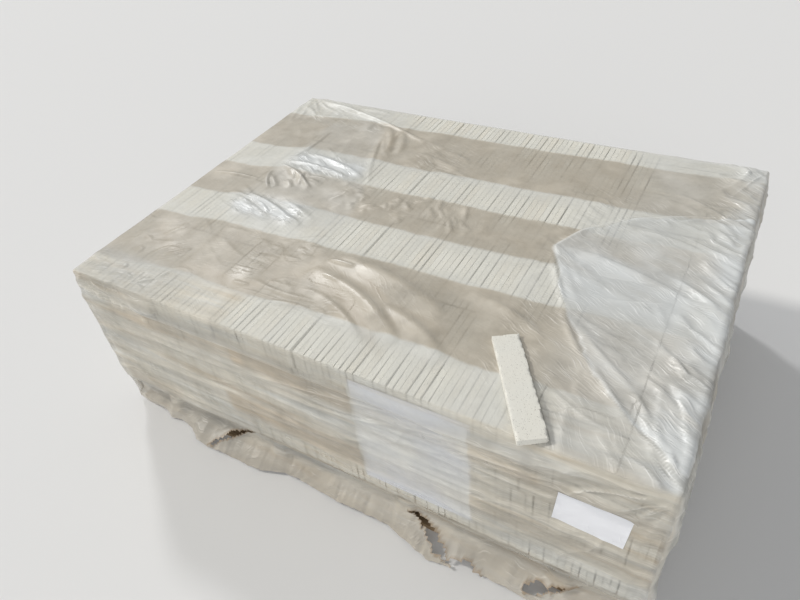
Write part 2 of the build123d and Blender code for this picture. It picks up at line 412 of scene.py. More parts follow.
def film_on_end(v, z, bulge, tight, seed, film):
    """How far the film stands out at an end, where it is gathered. tight: how much its top edge is held."""
    below = z - TOP_HIGH.z
    waist = 1 - 0.7 * np.exp(-(((below + 0.073) / 0.022) ** 2)) - 0.6 * np.exp(-(((z - 0.222) / 0.024) ** 2))
    bulge = bulge * (1 - tight * ramp(below, -0.07, -0.005))
    out = slack(v, z, film, 90, 0.25, 0.08, seed) + bulge * waist * ramp(z, 0.07, 0.15)
    out += bulge * crests(v, z, 84, 0.34, 0.055, seed + 1) ** 2 * ramp(z, 0.02, 0.2)
    out += strewn(v, z, END_CREASES, seed + 2) * bulge / 0.010
    ribs = radiating(v, z, (-0.01, TOP_HIGH.z), 0.26, 11, seed + 3)
    ribs += radiating(v, z, (PACK_DEPTH + 0.01, TOP_HIGH.z), 0.26, 11, seed + 4)
    return out + 0.011 * ribs * (1 - tight * ramp(below, -0.03, -0.004))


# Edges of the doubled film, as places on top of the pack
GUSSET_FRONT = ((1.20, 0.61), (1.30, 0.40), (1.40, 0.25), (1.50, 0.15), (1.66, 0.03))
GUSSET_REAR = ((1.20, 0.61), (1.26, 0.72), (1.33, 0.79), (1.50, 0.87), (1.66, 0.91))
LEFT_GUSSET_EDGE = ((0.40, 0.50), (0.49, 0.62), (0.64, 0.60), (0.70, 0.56), (0.82, 0.49), (1.05, 0.43))

# The hem: the height where it starts to stand forward, and how far it reaches at its foot, from left to right
HEM_TOP = 0.062
HEM_REACH = (
    (0.00, 0.000), (0.13, 0.002), (0.16, 0.018), (0.20, 0.010), (0.25, 0.020), (0.30, 0.050), (0.42, 0.055),
    (0.56, 0.045), (0.64, 0.026), (0.80, 0.030), (1.00, 0.034), (1.06, 0.050), (1.14, 0.070), (1.19, 0.060),
    (1.30, 0.046), (1.45, 0.050), (1.58, 0.035), (1.645, 0.000),
)

# Looser areas of each face: height, box, softness of the edges and grain, which is an angle in degrees, a
# long and a short cell, and a seed
TOP_SWELLS = (
    (0.006, (0.64, 1.36, 0.12, 0.36), 0.06, (-35, 0.24, 0.08, 4)),
    (0.004, (0.20, 0.56, 0.41, 0.83), 0.06, (-20, 0.16, 0.07, 5)),
    (0.004, (0.24, 0.66, 0.84, 1.08), 0.06, (-70, 0.22, 0.08, 6)),
)
FRONT_SWELLS = ((0.0036, (0.02, 1.63, 0.11, 0.48), 0.03, (1, 0.70, 0.05, 42)),)
BACK_SWELLS = ((0.0035, (0.02, 1.63, 0.11, 0.48), 0.03, (2, 0.50, 0.07, 72)),)

# Ribs that spread from the corners of each face: height, centre, reach, degrees between ribs and seed
TOP_SPREADS = (
    (0.011, (PACK_LENGTH + 0.01, -0.01), 0.26, 11, 31),
    (0.009, (PACK_LENGTH + 0.01, PACK_DEPTH + 0.01), 0.16, 12, 32),
    (0.007, (-0.01, -0.01), 0.12, 13, 33),
    (0.007, (-0.01, PACK_DEPTH + 0.01), 0.18, 12, 34),
    (0.008, (1.235, 0.60), 0.08, 24, 35),
)
FRONT_SPREADS = (
    (0.010, (PACK_LENGTH + 0.01, TOP_HIGH.z), 0.40, 8, 61),
    (0.007, (-0.01, TOP_HIGH.z), 0.14, 12, 62),
)
BACK_SPREADS = (
    (0.010, (-0.01, TOP_HIGH.z), 0.30, 11, 74),
    (0.010, (PACK_LENGTH + 0.01, TOP_HIGH.z), 0.30, 11, 75),
)

# Creases strewn over each face: box, number, angle, spread, length, height, width and small wrinkles
TOP_CREASES = (
    ((0.19, 0.49, 0.41, 0.52), 16, -15, 10, 0.150, 0.0048, 0.0085, 0.80),
    ((0.22, 0.50, 0.69, 0.82), 18, -30, 14, 0.085, 0.0036, 0.0080, 0.80),
    ((0.24, 0.40, 0.60, 0.69), 9, -35, 25, 0.080, 0.0095, 0.0080, 0.35),
    ((0.05, 0.28, 0.14, 0.33), 12, 35, 25, 0.080, 0.0040, 0.0090, 0.34),
    ((0.44, 0.52, 0.13, 0.33), 16, 2, 5, 0.055, 0.0035, 0.0075, 0.55),
    ((0.53, 0.61, 0.28, 0.37), 7, 2, 5, 0.055, 0.0035, 0.0075, 0.45),
    ((0.28, 0.66, 0.10, 0.38), 8, 10, 20, 0.120, 0.0030, 0.0110, 0.20),
    ((0.57, 0.84, 0.10, 0.22), 13, 3, 5, 0.140, 0.0045, 0.0080, 0.36),
    ((0.66, 1.02, 0.12, 0.36), 0, -35, 15, 0.160, 0.0080, 0.0130, 0.18),
    ((0.50, 0.80, 0.56, 0.70), 30, 0, 60, 0.038, 0.0048, 0.0085, 0.30),
    ((0.78, 1.02, 0.57, 0.69), 14, -70, 25, 0.060, 0.0055, 0.0085, 0.20),
    ((0.62, 0.82, 0.82, 1.04), 13, -20, 7, 0.110, 0.0060, 0.0110, 0.45),
    ((0.28, 0.60, 0.84, 1.08), 6, -75, 20, 0.140, 0.0050, 0.0200, 0.12),
    ((0.02, 0.44, 1.00, 1.19), 10, -20, 20, 0.110, 0.0045, 0.0090, 0.45),
    ((1.20, 1.54, 0.10, 0.94), 26, -28, 18, 0.120, 0.0045, 0.0095, 0.60),
    ((1.54, 1.66, 0.00, 1.20), 44, -34, 12, 0.110, 0.0080, 0.0090, 0.95),
    ((0.00, 0.30, 0.00, 0.10), 16, 30, 40, 0.050, 0.0045, 0.0085, 0.50),
    ((1.40, 1.65, 0.00, 0.20), 12, 130, 20, 0.180, 0.0080, 0.0110, 0.45),
    ((0.00, 1.65, 0.00, 1.19), 0, -12, 30, 0.060, 0.0015, 0.0080, 0.07),
)
FRONT_CREASES = (
    ((0.02, 1.64, 0.10, 0.50), 34, 0, 2, 0.620, 0.0045, 0.0085, 0.36),
    ((0.80, 1.62, 0.41, 0.49), 20, 6, 3, 0.360, 0.0075, 0.0085, 0.65),
    ((0.00, 0.30, 0.47, 0.57), 22, 5, 40, 0.060, 0.0065, 0.0085, 0.90),
    ((0.00, 0.14, 0.14, 0.50), 14, -15, 14, 0.110, 0.0055, 0.0090, 0.40),
    ((1.20, 1.65, 0.10, 0.50), 20, 9, 6, 0.240, 0.0050, 0.0090, 0.50),
    ((0.00, 1.65, -0.05, 0.09), 40, 8, 24, 0.110, 0.0060, 0.0085, 1.00),
)
BACK_CREASES = (
    ((0.02, 1.64, 0.10, 0.50), 30, 0, 3, 0.520, 0.0045, 0.0095, 0.30),
    ((0.02, 1.64, 0.05, 0.56), 30, 20, 40, 0.120, 0.0035, 0.0100, 0.30),
)
END_CREASES = (
    ((0.00, 1.19, 0.12, 0.56), 64, 88, 9, 0.280, 0.0085, 0.0095, 0.80),
    ((0.00, 1.19, 0.02, 0.56), 50, 70, 35, 0.110, 0.0055, 0.0090, 0.60),
)

# Folds on top that the photograph shows one by one: start, end, bow, height and width
TOP_FOLDS = (
    ((0.03, 1.19), (0.62, 1.00), 0.016, 0.009, 0.010),
    ((0.10, 1.16), (0.36, 1.09), 0.010, 0.006, 0.009),
    ((0.42, 1.07), (0.52, 0.88), 0.020, 0.007, 0.024),
    ((0.48, 1.06), (0.56, 0.90), 0.016, 0.006, 0.020),
    ((0.22, 0.70), (0.40, 0.61), 0.010, 0.011, 0.009),
    ((0.27, 0.69), (0.37, 0.63), 0.006, 0.009, 0.008),
    ((0.33, 0.69), (0.36, 0.61), -0.006, 0.008, 0.008),
    ((0.20, 0.52), (0.47, 0.43), 0.014, 0.008, 0.010),
    ((0.24, 0.50), (0.36, 0.45), 0.008, 0.006, 0.009),
    ((0.02, 0.585), (0.20, 0.60), 0.006, 0.006, 0.008),
    ((0.23, 0.73), (0.48, 0.71), 0.012, 0.006, 0.010),
    ((0.26, 0.80), (0.54, 0.72), 0.016, 0.006, 0.011),
    ((0.65, 0.275), (1.00, 0.12), 0.028, 0.011, 0.027),
    ((0.69, 0.345), (1.06, 0.25), 0.020, 0.010, 0.030),
    ((0.72, 0.195), (0.92, 0.09), 0.012, 0.006, 0.016),
    ((0.90, 0.22), (1.12, 0.12), 0.016, 0.008, 0.024),
    ((0.675, 0.322), (0.765, 0.318), 0.002, 0.0095, 0.0080),
    ((0.685, 0.262), (0.765, 0.246), 0.002, 0.0095, 0.0080),
    ((1.08, 0.35), (1.30, 0.26), 0.018, 0.007, 0.020),
    ((1.20, 0.61), (1.33, 0.35), -0.006, 0.006, 0.009),
    ((1.29, 0.41), (1.48, 0.17), -0.018, 0.006, 0.010),
    ((1.42, 0.24), (1.63, 0.04), -0.014, 0.008, 0.011),
    ((1.36, 0.34), (1.52, 0.20), -0.006, 0.005, 0.009),
    ((1.20, 0.61), (1.33, 0.79), 0.012, 0.006, 0.009),
    ((1.30, 0.77), (1.63, 0.91), 0.016, 0.008, 0.011),
    ((1.38, 0.76), (1.60, 0.70), 0.014, 0.005, 0.012),
    ((1.22, 0.62), (1.60, 0.50), 0.020, 0.006, 0.014),
    ((1.44, 0.98), (1.62, 0.86), 0.010, 0.007, 0.011),
    ((0.44, 1.05), (0.58, 0.68), -0.020, 0.005, 0.012),
    ((0.24, 0.96), (0.22, 0.72), 0.010, 0.004, 0.010),
)

# Painted shade in the valleys between those folds: start, end, bow, strength and width
TOP_VALLEY_SHADE = (
    ((0.69, 0.228), (0.95, 0.108), 0.018, 0.80, 0.011),
    ((0.77, 0.300), (0.92, 0.225), 0.010, 0.75, 0.012),
    ((0.92, 0.225), (1.10, 0.190), 0.010, 0.35, 0.014),
    ((0.475, 1.035), (0.515, 0.890), 0.010, 0.60, 0.012),
    ((0.82, 0.175), (1.00, 0.060), 0.006, 0.40, 0.016),
    ((0.23, 0.135), (0.58, 0.155), 0.010, 0.50, 0.026),
    ((0.05, 0.300), (0.30, 0.170), -0.020, 0.35, 0.020),
    ((0.43, 0.300), (0.61, 0.200), 0.010, 0.40, 0.020),
    ((0.62, 0.360), (0.64, 0.220), 0.010, 0.40, 0.014),
)


def grid_lines(length, step, edge):
    """Places of the grid lines across a face, close together at both edges. Their gaps are even in number."""
    count = 2 * max(int(round((length - 2 * edge) / step / 2)), 1)
    inner = np.linspace(edge, length - edge, count + 1)
    start = [0, edge * 0.3, edge * 0.6]
    end = [length - edge * 0.6, length - edge * 0.3, length]
    return np.concatenate([start, inner, end])


def film_box(film):
    """Lowest and highest corner of the film as it would lie on a plain box."""
    low = Vector((TOP_LOW.x - film.gap, TOP_LOW.y - film.gap, FLOOR_GAP))
    high = Vector((TOP_HIGH.x + film.gap, TOP_HIGH.y + film.gap, TOP_HIGH.z + film.gap / 2))
    return low, high


def face_grid(first, second, place, spot, turned_over):
    """A grid on one face of the box: its corners, its places on the flat film and if it is turned over."""
    a, b = np.meshgrid(first, second, indexing="ij")
    return np.stack(np.broadcast_arrays(*place(a, b)), axis=2), np.stack(spot(a, b), axis=2), turned_over


def film_grids(film):
    """The grids of each piece of the film, by the piece's name."""
    low, high = film_box(film)
    wide, deep, tall = high.x - low.x, high.y - low.y, high.z
    xs = low.x + grid_lines(wide, film.grid, film.corner)
    ys = low.y + grid_lines(deep, film.grid, film.corner)
    zs = low.z + grid_lines(tall - low.z, film.grid, film.corner)
    half = zs[::2]
    top = face_grid(xs, ys, lambda x, y: (x, y, tall), lambda x, y: (x - low.x, tall + y - low.y), False)
    front = face_grid(xs, zs, lambda x, z: (x, low.y, z), lambda x, z: (x - low.x, z), False)
    left = face_grid(ys, half, lambda y, z: (low.x, y, z), lambda y, z: (z - tall, tall + y - low.y), True)
    back = face_grid(
        xs, half, lambda x, z: (x, high.y, z), lambda x, z: (x - low.x, 2 * tall + deep - z), True
    )
    right = face_grid(
        ys, half, lambda y, z: (high.x, y, z), lambda y, z: (wide + tall - z, tall + y - low.y), False
    )
    return {"film_top": [top], "film_front": [front], "film_sides": [left, back, right]}


def tear_depth(u, z):
    """How far inside a tear a place on the hem is, in metres. Positive is inside."""
    depth = np.full_like(u, -1.0)
    jag = 0.004 * smooth_noise(cells(u / 0.016, z / 0.012, 0), 61)
    jag += 0.002 * smooth_noise(cells(u / 0.006, z / 0.006, 0), 62)
    for start, end, width in TEARS:
        part, aside = beside(u, z, start, end)
        arch = np.clip(4 * part * (1 - part), 0, 1) ** 0.5
        inside = width / 2 * arch - np.abs(aside)
        depth = np.maximum(depth, np.where((part > 0) & (part < 1), inside, -0.05) + jag)
    return depth


# Tears in the hem: start and end as (distance from the left end, height), and width
TEARS = (
    ((0.345, 0.004), (0.512, 0.088), 0.017),
    ((1.046, 0.066), (1.20, 0.006), 0.022),
    ((1.19, 0.012), (1.285, 0.000), 0.030),
    ((1.385, 0.020), (1.445, 0.030), 0.026),
    ((1.43, 0.026), (1.515, 0.064), 0.012),
)

# The faces of the film: the axis that each looks along, and which way
FACES = {"top": (2, 1), "front": (1, -1), "back": (1, 1), "left": (0, -1), "right": (0, 1)}

# How far each end bulges, how much its top edge is held, and its seed
LEFT_BULGE = (0.0078, 0.95, 81)
RIGHT_BULGE = (0.0100, 0.45, 91)

# The lowest that any film hangs, and how far its torn lips stand forward and how soon they lie back
LOWEST = 0.0012
LIP_HEIGHT, LIP_WIDTH = 0.006, 0.0025

# How far a full fold stands out from its neighbours, and how far the film is off the bricks at full lift
FOLD_RISE, FULL_LIFT = 0.0016, 0.014


def shaped_grid(flat, film):
    """Rounds a grid's edges and lays its folds. Returns its corners, their masks and which a tear takes."""
    shape = flat.shape[:2]
    flat = flat.reshape(-1, 3)
    low, high = film_box(film)
    low_corner = np.array([low.x, low.y, -1.0]) + film.corner
    high_corner = np.array(high) - film.corner
    centre = np.clip(flat, low_corner, high_corner)
    normal = (flat - centre) / np.linalg.norm(flat - centre, axis=1)[:, None]
    u, v, z = flat[:, 0] - TOP_LOW.x, flat[:, 1] - TOP_LOW.y, flat[:, 2]
    share = {name: np.maximum(way * normal[:, axis], 0) ** 2 for name, (axis, way) in FACES.items()}
    heights = {
        "top": lambda at: film_on_top(u[at], v[at], film),
        "front": lambda at: film_on_front(u[at], z[at], film),
        "back": lambda at: film_on_back(u[at], z[at], film),
        "left": lambda at: film_on_end(v[at], z[at], *LEFT_BULGE, film),
        "right": lambda at: film_on_end(v[at], z[at], *RIGHT_BULGE, film),
    }
    out = np.zeros(len(flat))
    for name, height in heights.items():
        at = np.nonzero(share[name] > 0)[0]
        if len(at):
            out[at] += share[name][at] * height(at)
    drawn = (share["front"] + 0.6 * share["back"]) * pulled_in(u, z)
    placed = centre + normal * (film.corner + out - drawn)[:, None]
    inside = tear_depth(u, z)
    in_front = share["front"] > 0.5
    lip = np.where(in_front, np.exp(-np.maximum(-inside, 0) / LIP_WIDTH), 0)
    placed[:, 1] -= share["front"] * flare(u, z) + LIP_HEIGHT * lip
    placed[:, 2] += np.clip(1 - z / HEM_TOP, 0, 1) * ragged_edge(u, v)
    placed[:, 2] = np.maximum(placed[:, 2], LOWEST)
    masks = film_masks(u, v, z, share, out)
    masks["crease"] = fold_tops(out.reshape(shape)).ravel()
    masks["rim"] = np.clip(lip * 2.6 - 1.7, 0, 1)
    masks["wrinkles"], masks["turn"] = small_wrinkles(u, v, z, share)
    return placed, masks, (inside > 0) & in_front


def fold_tops(out):
    """How far each corner stands out from its neighbours: near 1 on a fold's top, near -1 beside it."""
    wide = np.pad(out, 1, mode="edge")
    around = (wide[:-2, 1:-1] + wide[2:, 1:-1] + wide[1:-1, :-2] + wide[1:-1, 2:]) / 4
    return np.clip((out - around) / FOLD_RISE, -1, 1)


def grid_faces(rows, columns, turned_over, start):
    """The four-sided faces of a grid as an array of corner numbers."""
    corner = start + np.arange(rows * columns).reshape(rows, columns)
    ring = [corner[:-1, :-1], corner[1:, :-1], corner[1:, 1:], corner[:-1, 1:]]
    if turned_over:
        ring.reverse()
    return np.stack(ring, axis=2).reshape(-1, 4)


def straighten_ends(placed, rows, columns):
    """Puts every second corner at both ends of the front midway, where a coarser grid meets it."""
    grid = placed.reshape(rows, columns, 3)
    for end in (0, rows - 1):
        grid[end, 1:-1:2] = (grid[end, :-2:2] + grid[end, 2::2]) / 2


def film_haze(u, v, z, share):
    """How milky the film is: in crumpled patches, where it is doubled or rolled, and at its corners."""
    cloud = 0.5 + 0.5 * stretched_noise(u, v, -25, 0.10, 0.05, 101)
    wisps = ridges(u, v, -22, 0.16, 0.03, 102)
    doubled = gusset_area(u, v)
    haze = patches(u, v, MILKY_PATCHES) * (0.50 + 0.70 * wisps)
    haze += doubled * (0.36 + 0.30 * cloud + 0.32 * patch(u, v, (1.10, 1.56, 0.40, 0.61), 0.03))
    haze += 1.2 * doubled * (1 - doubled) + 0.20 * doubled * ridges(u, v, -24, 0.16, 0.030, 108)
    haze += left_gusset_area(u, v) * (0.10 + 0.22 * cloud)
    haze += ramp(u, 1.24, 1.42) * (0.18 + 0.18 * cloud) * (1 - doubled)
    haze += 0.26 * patch(u, v, (1.34, 1.70, -0.1, 0.12), 0.03)
    rolled = ramp(u, PACK_LENGTH - 0.10, PACK_LENGTH)
    haze += 0.60 * rolled * (0.15 + 0.85 * ridges(u, v, -36, 0.14, 0.03, 103))
    haze += 0.30 * patch(u, v, (0.0, 0.40, 1.02, 1.20), 0.05) * wisps
    haze += 0.50 * patch(u, v, (-0.1, 0.34, -0.10, 0.12), 0.05) * (0.4 + 0.6 * wisps)
    ends = share["left"] + share["right"]
    return share["top"] * haze + ends * (0.08 + 0.60 * ridges(v, z, 86, 0.30, 0.024, 104) ** 1.5)


def hollow_shade_mask(u, v, z, share, out):
    """Painted shade, 0 to 1, where the film is drawn in: between courses, in front, in valleys on top, in
    pockets at the right.
    """
    hollow = patches(u, z, FRONT_HOLLOW_SHADE)
    # Painted shadow lines along the bed lines between the courses
    for line in course_lines():
        broken = ramp(stretched_noise(u, z, 0, 0.25, 0.1, 109), -0.4, 0.5)
        hollow += 0.40 * np.exp(-np.abs(z - line) / 0.003) * broken
    hollow *= np.clip(0.8 + 0.7 * stretched_noise(u, z, 10, 0.09, 0.03, 107), 0, 1.3)
    valleys = np.zeros_like(u)
    for row in TOP_VALLEY_SHADE:
        valleys = np.maximum(valleys, fold(u, v, *row))
    pockets = share["right"] * ramp(-out, -0.012, -0.005) * ramp(TOP_HIGH.z - z, 0.01, 0.03)
    return hollow * share["front"] + valleys * share["top"] + pockets


def film_masks(u, v, z, share, out):
    """Masks of the film at each corner, 0 to 1: milky haze, tan tint, dusty veil, painted shade in hollows,
    lift off the bricks and thin places where the joints show."""
    ends = share["left"] + share["right"]
    veil = (share["front"] + share["back"]) * (0.55 + 0.35 * stretched_noise(u, z, 0, 0.3, 0.05, 106))
    veil += 0.2 * ends + share["top"] * patches(u, v, TOP_VEILS)
    thin = patches(u, v, TOP_THIN) * share["top"] + patches(u, z, FRONT_THIN) * share["front"]
    thin *= 0.85 + 0.4 * stretched_noise(u, v + z, 5, 0.12, 0.04, 110)
    over_sheet = patch(u, z, front_box("white_sheet"), 0.004) * share["front"]
    tint = patches(u, z, FRONT_TINTS) * (0.75 + 0.25 * stretched_noise(u, z, 0, 0.20, 0.03, 105))
    masks = {
        "haze": film_haze(u, v, z, share),
        "tint": tint * (1 - 0.75 * over_sheet) * share["front"],
        "veil": veil * (1 - 0.85 * over_sheet),
        "hollow": hollow_shade_mask(u, v, z, share, out),
        "lift": out / FULL_LIFT,
        "thin": thin + 0.5 * (share["back"] + ends),
    }
    return {name: np.clip(mask, 0, 1) for name, mask in masks.items()}


# Areas of the film, each a strength, a box and the softness of its edges: milky and dusty ones on top
MILKY_PATCHES = (
    (1.00, (0.20, 0.46, 0.41, 0.51), 0.050),
    (1.00, (0.23, 0.51, 0.70, 0.81), 0.050),
)
TOP_VEILS = (
    (0.50, (1.32, 1.70, -0.1, 0.12), 0.04),
    (0.35, (-0.1, 0.55, -0.1, 0.11), 0.03),
)

# Tan areas in front, then grey painted shade where the film is drawn in
FRONT_TINTS = (
    (0.75, (0.56, 0.95, 0.430, 0.495), 0.010),
    (0.45, (0.10, 0.60, 0.440, 0.490), 0.014),
    (0.40, (0.95, 1.40, 0.430, 0.480), 0.014),
    (0.80, (0.49, 0.95, 0.205, 0.295), 0.014),
    (0.40, (0.02, 0.26, 0.130, 0.200), 0.025),
    (0.45, (0.10, 1.60, 0.095, 0.112), 0.006),
    (0.35, (1.36, 1.66, 0.380, 0.470), 0.020),
    (0.35, (1.00, 1.66, 0.240, 0.300), 0.020),
)
FRONT_HOLLOW_SHADE = (
    (0.32, (0.09, 0.90, 0.505, 0.555), 0.012),
    (0.45, (0.525, 0.538, 0.500, 0.560), 0.005),
    (0.40, (0.785, 0.797, 0.500, 0.560), 0.005),
    (0.45, (0.815, 0.828, 0.500, 0.560), 0.005),
    (0.80, (0.035, 0.150, 0.030, 0.125), 0.020),
    (0.75, (0.200, 0.470, 0.020, 0.098), 0.018),
    (0.60, (0.460, 1.600, 0.080, 0.100), 0.010),
    (0.50, (0.560, 0.800, 0.055, 0.090), 0.018),
    (0.40, (1.180, 1.500, 0.045, 0.090), 0.018),
    (0.45, (1.400, 1.625, 0.226, 0.240), 0.006),
    (0.45, (1.355, 1.380, 0.440, 0.560), 0.006),
)

# Thin film that shows the joints beneath, on top and in front
TOP_THIN = (
    (1.00, (0.62, 1.17, 0.385, 0.500), 0.03),
    (0.80, (0.50, 1.20, 0.700, 0.820), 0.03),
    (0.90, (0.46, 1.30, 1.095, 1.250), 0.02),
    (0.85, (0.52, 1.16, -0.10, 0.105), 0.03),
    (0.35, (0.18, 0.34, -0.10, 0.105), 0.03),
    (0.50, (0.00, 0.18, 0.380, 0.500), 0.03),
)
FRONT_THIN = (
    (1.00, (0.56, 1.62, 0.112, 0.196), 0.010),
    (0.80, (1.27, 1.62, 0.205, 0.300), 0.020),
    (0.75, (0.28, 0.62, 0.330, 0.400), 0.020),
    (0.60, (1.27, 1.42, 0.330, 0.470), 0.020),
    (0.60, (0.10, 0.45, 0.180, 0.290), 0.030),
    (0.70, (0.30, 1.30, 0.500, 0.560), 0.012),
)


def write_attribute(mesh, name, values):
    """Stores one number for each corner of a mesh."""
    layer = mesh.attributes.new(name, "FLOAT", "POINT")
    layer.data.foreach_set("value", np.asarray(values, dtype=np.float32))


def new_object(name, mesh, material):
    """A piece of the pack that rides with it, with its finish."""
    piece = bpy.data.objects.new(name, mesh)
    bpy.context.scene.collection.objects.link(piece)
    mesh.materials.clear()
    mesh.materials.append(material)
    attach(piece, "root")
    return piece


def smooth(mesh, limit=None):
    """Shades a mesh smooth, with an edge kept sharp past limit in degrees."""
    mesh.shade_smooth()
    if limit is not None:
        mesh.set_sharp_from_angle(angle=math.radians(limit))


# Node building


class Wire:
    """What a node puts out. Adding, subtracting, multiplying or dividing wires places Math nodes."""

    def __init__(self, socket):
        self.socket = socket

    def __add__(self, other):
        return calculate("ADD", self, other)

    def __sub__(self, other):
        return calculate("SUBTRACT", self, other)

    def __rsub__(self, other):
        return calculate("SUBTRACT", other, self)

    def __mul__(self, other):
        return calculate("MULTIPLY", self, other)

    def __truediv__(self, other):
        return calculate("DIVIDE", self, other)

    def __rtruediv__(self, other):
        return calculate("DIVIDE", other, self)

    def __mod__(self, other):
        return calculate("MODULO", self, other)

    def __pow__(self, other):
        return calculate("POWER", self, other)


def tree_of(*values):
    """The node tree that the wires among some values belong to."""
    return next(value.socket.id_data for value in values if isinstance(value, Wire))


def fill(sockets, values):
    """Links wires to sockets, and sets their own values from the rest."""
    for key, value in values.items():
        if isinstance(value, Wire):
            tree_of(value).links.new(value.socket, sockets[key])
        else:
            sockets[key].default_value = value


def add_node(tree, kind, values=None, **settings):
    """Adds a node, sets it up and fills its inputs. Returns what it puts out, by name and by number."""
    node = tree.nodes.new(kind)
    for key, value in settings.items():
        setattr(node, key, value)
    fill(node.inputs, values or {})
    found = {socket.name: Wire(socket) for socket in node.outputs}
    return {**found, **{number: Wire(socket) for number, socket in enumerate(node.outputs)}}


def use_group(tree, name, values):
    """Places a shared group in a tree with its own values, and returns what it puts out."""
    kind = "ShaderNodeGroup" if tree.bl_idname == "ShaderNodeTree" else "GeometryNodeGroup"
    return add_node(tree, kind, values, node_tree=GROUPS[name])


def calculate(operation, *values):
    """The result of a Math node."""
    return add_node(tree_of(*values), "ShaderNodeMath", dict(enumerate(values)), operation=operation)[0]


def held(wire):
    """The result of a Math node held between 0 and 1."""
    wire.socket.node.use_clamp = True
    return wire


def vector_math(operation, first, second):
    """The result of a Vector Math node."""
    return add_node(tree_of(first), "ShaderNodeVectorMath", {0: first, 1: second}, operation=operation)[0]


def remap(value, from_low, from_high, to_low=0.0, to_high=1.0):
    """A value moved from one range to another and held there."""
    values = {"From Min": from_low, "From Max": from_high, "To Min": to_low, "To Max": to_high}
    return add_node(tree_of(value), "ShaderNodeMapRange", {"Value": value, **values}, clamp=True)[0]


def mixed(share, first, second, blend="MIX"):
    """Two colours mixed by a share."""
    first, second = (value if isinstance(value, Wire) else (*value, 1) for value in (first, second))
    values = {0: share, 6: first, 7: second}
    settings = {"data_type": "RGBA", "blend_type": blend}
    return add_node(tree_of(share, first, second), "ShaderNodeMix", values, **settings)[2]


def noise(place, scale, detail, roughness=0.5):
    """What a Noise Texture puts out: 0 is its value and 1 its colour."""
    values = {"Vector": place, "Scale": scale, "Detail": detail, "Roughness": roughness}
    return add_node(tree_of(place), "ShaderNodeTexNoise", values)


def voronoi(place, scale, **settings):
    """What a Voronoi Texture puts out."""
    return add_node(tree_of(place), "ShaderNodeTexVoronoi", {"Vector": place, "Scale": scale}, **settings)


def turned(vector, angle):
    """Coordinates turned about Z by an angle in radians."""
    values = {"Vector": vector, "Angle": angle}
    return add_node(tree_of(vector), "ShaderNodeVectorRotate", values, rotation_type="Z_AXIS")[0]


def scaled(vector, factors, turn):
    """Coordinates turned about Z by turn degrees, then scaled by factors."""
    return vector_math("MULTIPLY", turned(vector, math.radians(turn)), factors)


def joined(x, y, z=0.0):
    """A vector from three numbers."""
    return add_node(tree_of(x, y, z), "ShaderNodeCombineXYZ", {0: x, 1: y, 2: z})[0]


def attribute(tree, name):
    """One of the masks stored on the mesh."""
    return add_node(tree, "ShaderNodeAttribute", attribute_name=name)["Fac"]


# Shader groups


def new_group(name, inputs, outputs):
    """A shader group of numbers. An input has its default here, and is a vector where that is None."""
    tree = bpy.data.node_groups.new(name, "ShaderNodeTree")
    for label, default in inputs.items():
        kind = "NodeSocketVector" if default is None else "NodeSocketFloat"
        socket = tree.interface.new_socket(label, in_out="INPUT", socket_type=kind)
        if default is not None:
            socket.default_value = default
    for label in outputs:
        tree.interface.new_socket(label, in_out="OUTPUT", socket_type="NodeSocketFloat")
    given = add_node(tree, "NodeGroupInput")
    return tree, given, tree.nodes.new("NodeGroupOutput").inputs


def speck_group():
    """Dark specks and pits of fired clay."""
    inputs = {"Vector": None, "Size": 0.003, "Amount": 0.3}
    tree, given, result = new_group("Clay specks", inputs, ("Mask", "Height"))
    density = 1.0 / given["Size"]
    spots = voronoi(given["Vector"], density)
    rank = add_node(tree, "ShaderNodeSeparateColor", {"Color": spots["Color"]})
    chosen = calculate("LESS_THAN", rank[0], given["Amount"])
    blob = calculate("LESS_THAN", spots["Distance"], remap(rank[1], 0, 1, 0.10, 0.34))
    mask = chosen * blob
    pitted = noise(given["Vector"], density, 5.0, 0.65)[0] - mask * 0.7
    fill(result, {"Mask": mask, "Height": pitted})
    return tree


def cloud_group():
    """Large soft patches, such as dust or uneven firing."""
    inputs = {"Vector": None, "Size": 0.1, "Contrast": 0.3}
    tree, given, result = new_group("Soft patches", inputs, ("Mask",))
    uneven = noise(given["Vector"], 1.0 / given["Size"], 4.0, 0.55)[0]
    fill(result, {"Mask": remap(uneven, 0.5 - given["Contrast"], given["Contrast"] + 0.5)})
    return tree


def crease_group():
    """Fine creases of thin plastic or paper: broken straight lines, as a height and as a mask of painted
    highlights along them.
    """
    inputs = {"Vector": None, "Size": 0.03, "Width": 0.06}
    tree, given, result = new_group("Fine creases", inputs, ("Height", "Streak"))
    density = 1.0 / given["Size"]
    warp = noise(given["Vector"], density, 1.0)
    bent = vector_math("ADD", given["Vector"], vector_math("MULTIPLY", warp[1], (0.010, 0.010, 0.010)))
    edges = voronoi(bent, density, feature="DISTANCE_TO_EDGE")["Distance"]
    line = 1.0 - held(edges / given["Width"])
    streak = line**2.0 * remap(warp[0], 0.48, 0.62)
    fill(result, {"Height": streak * 0.3 + noise(bent, density, 3.0)[0], "Streak": streak})
    return tree


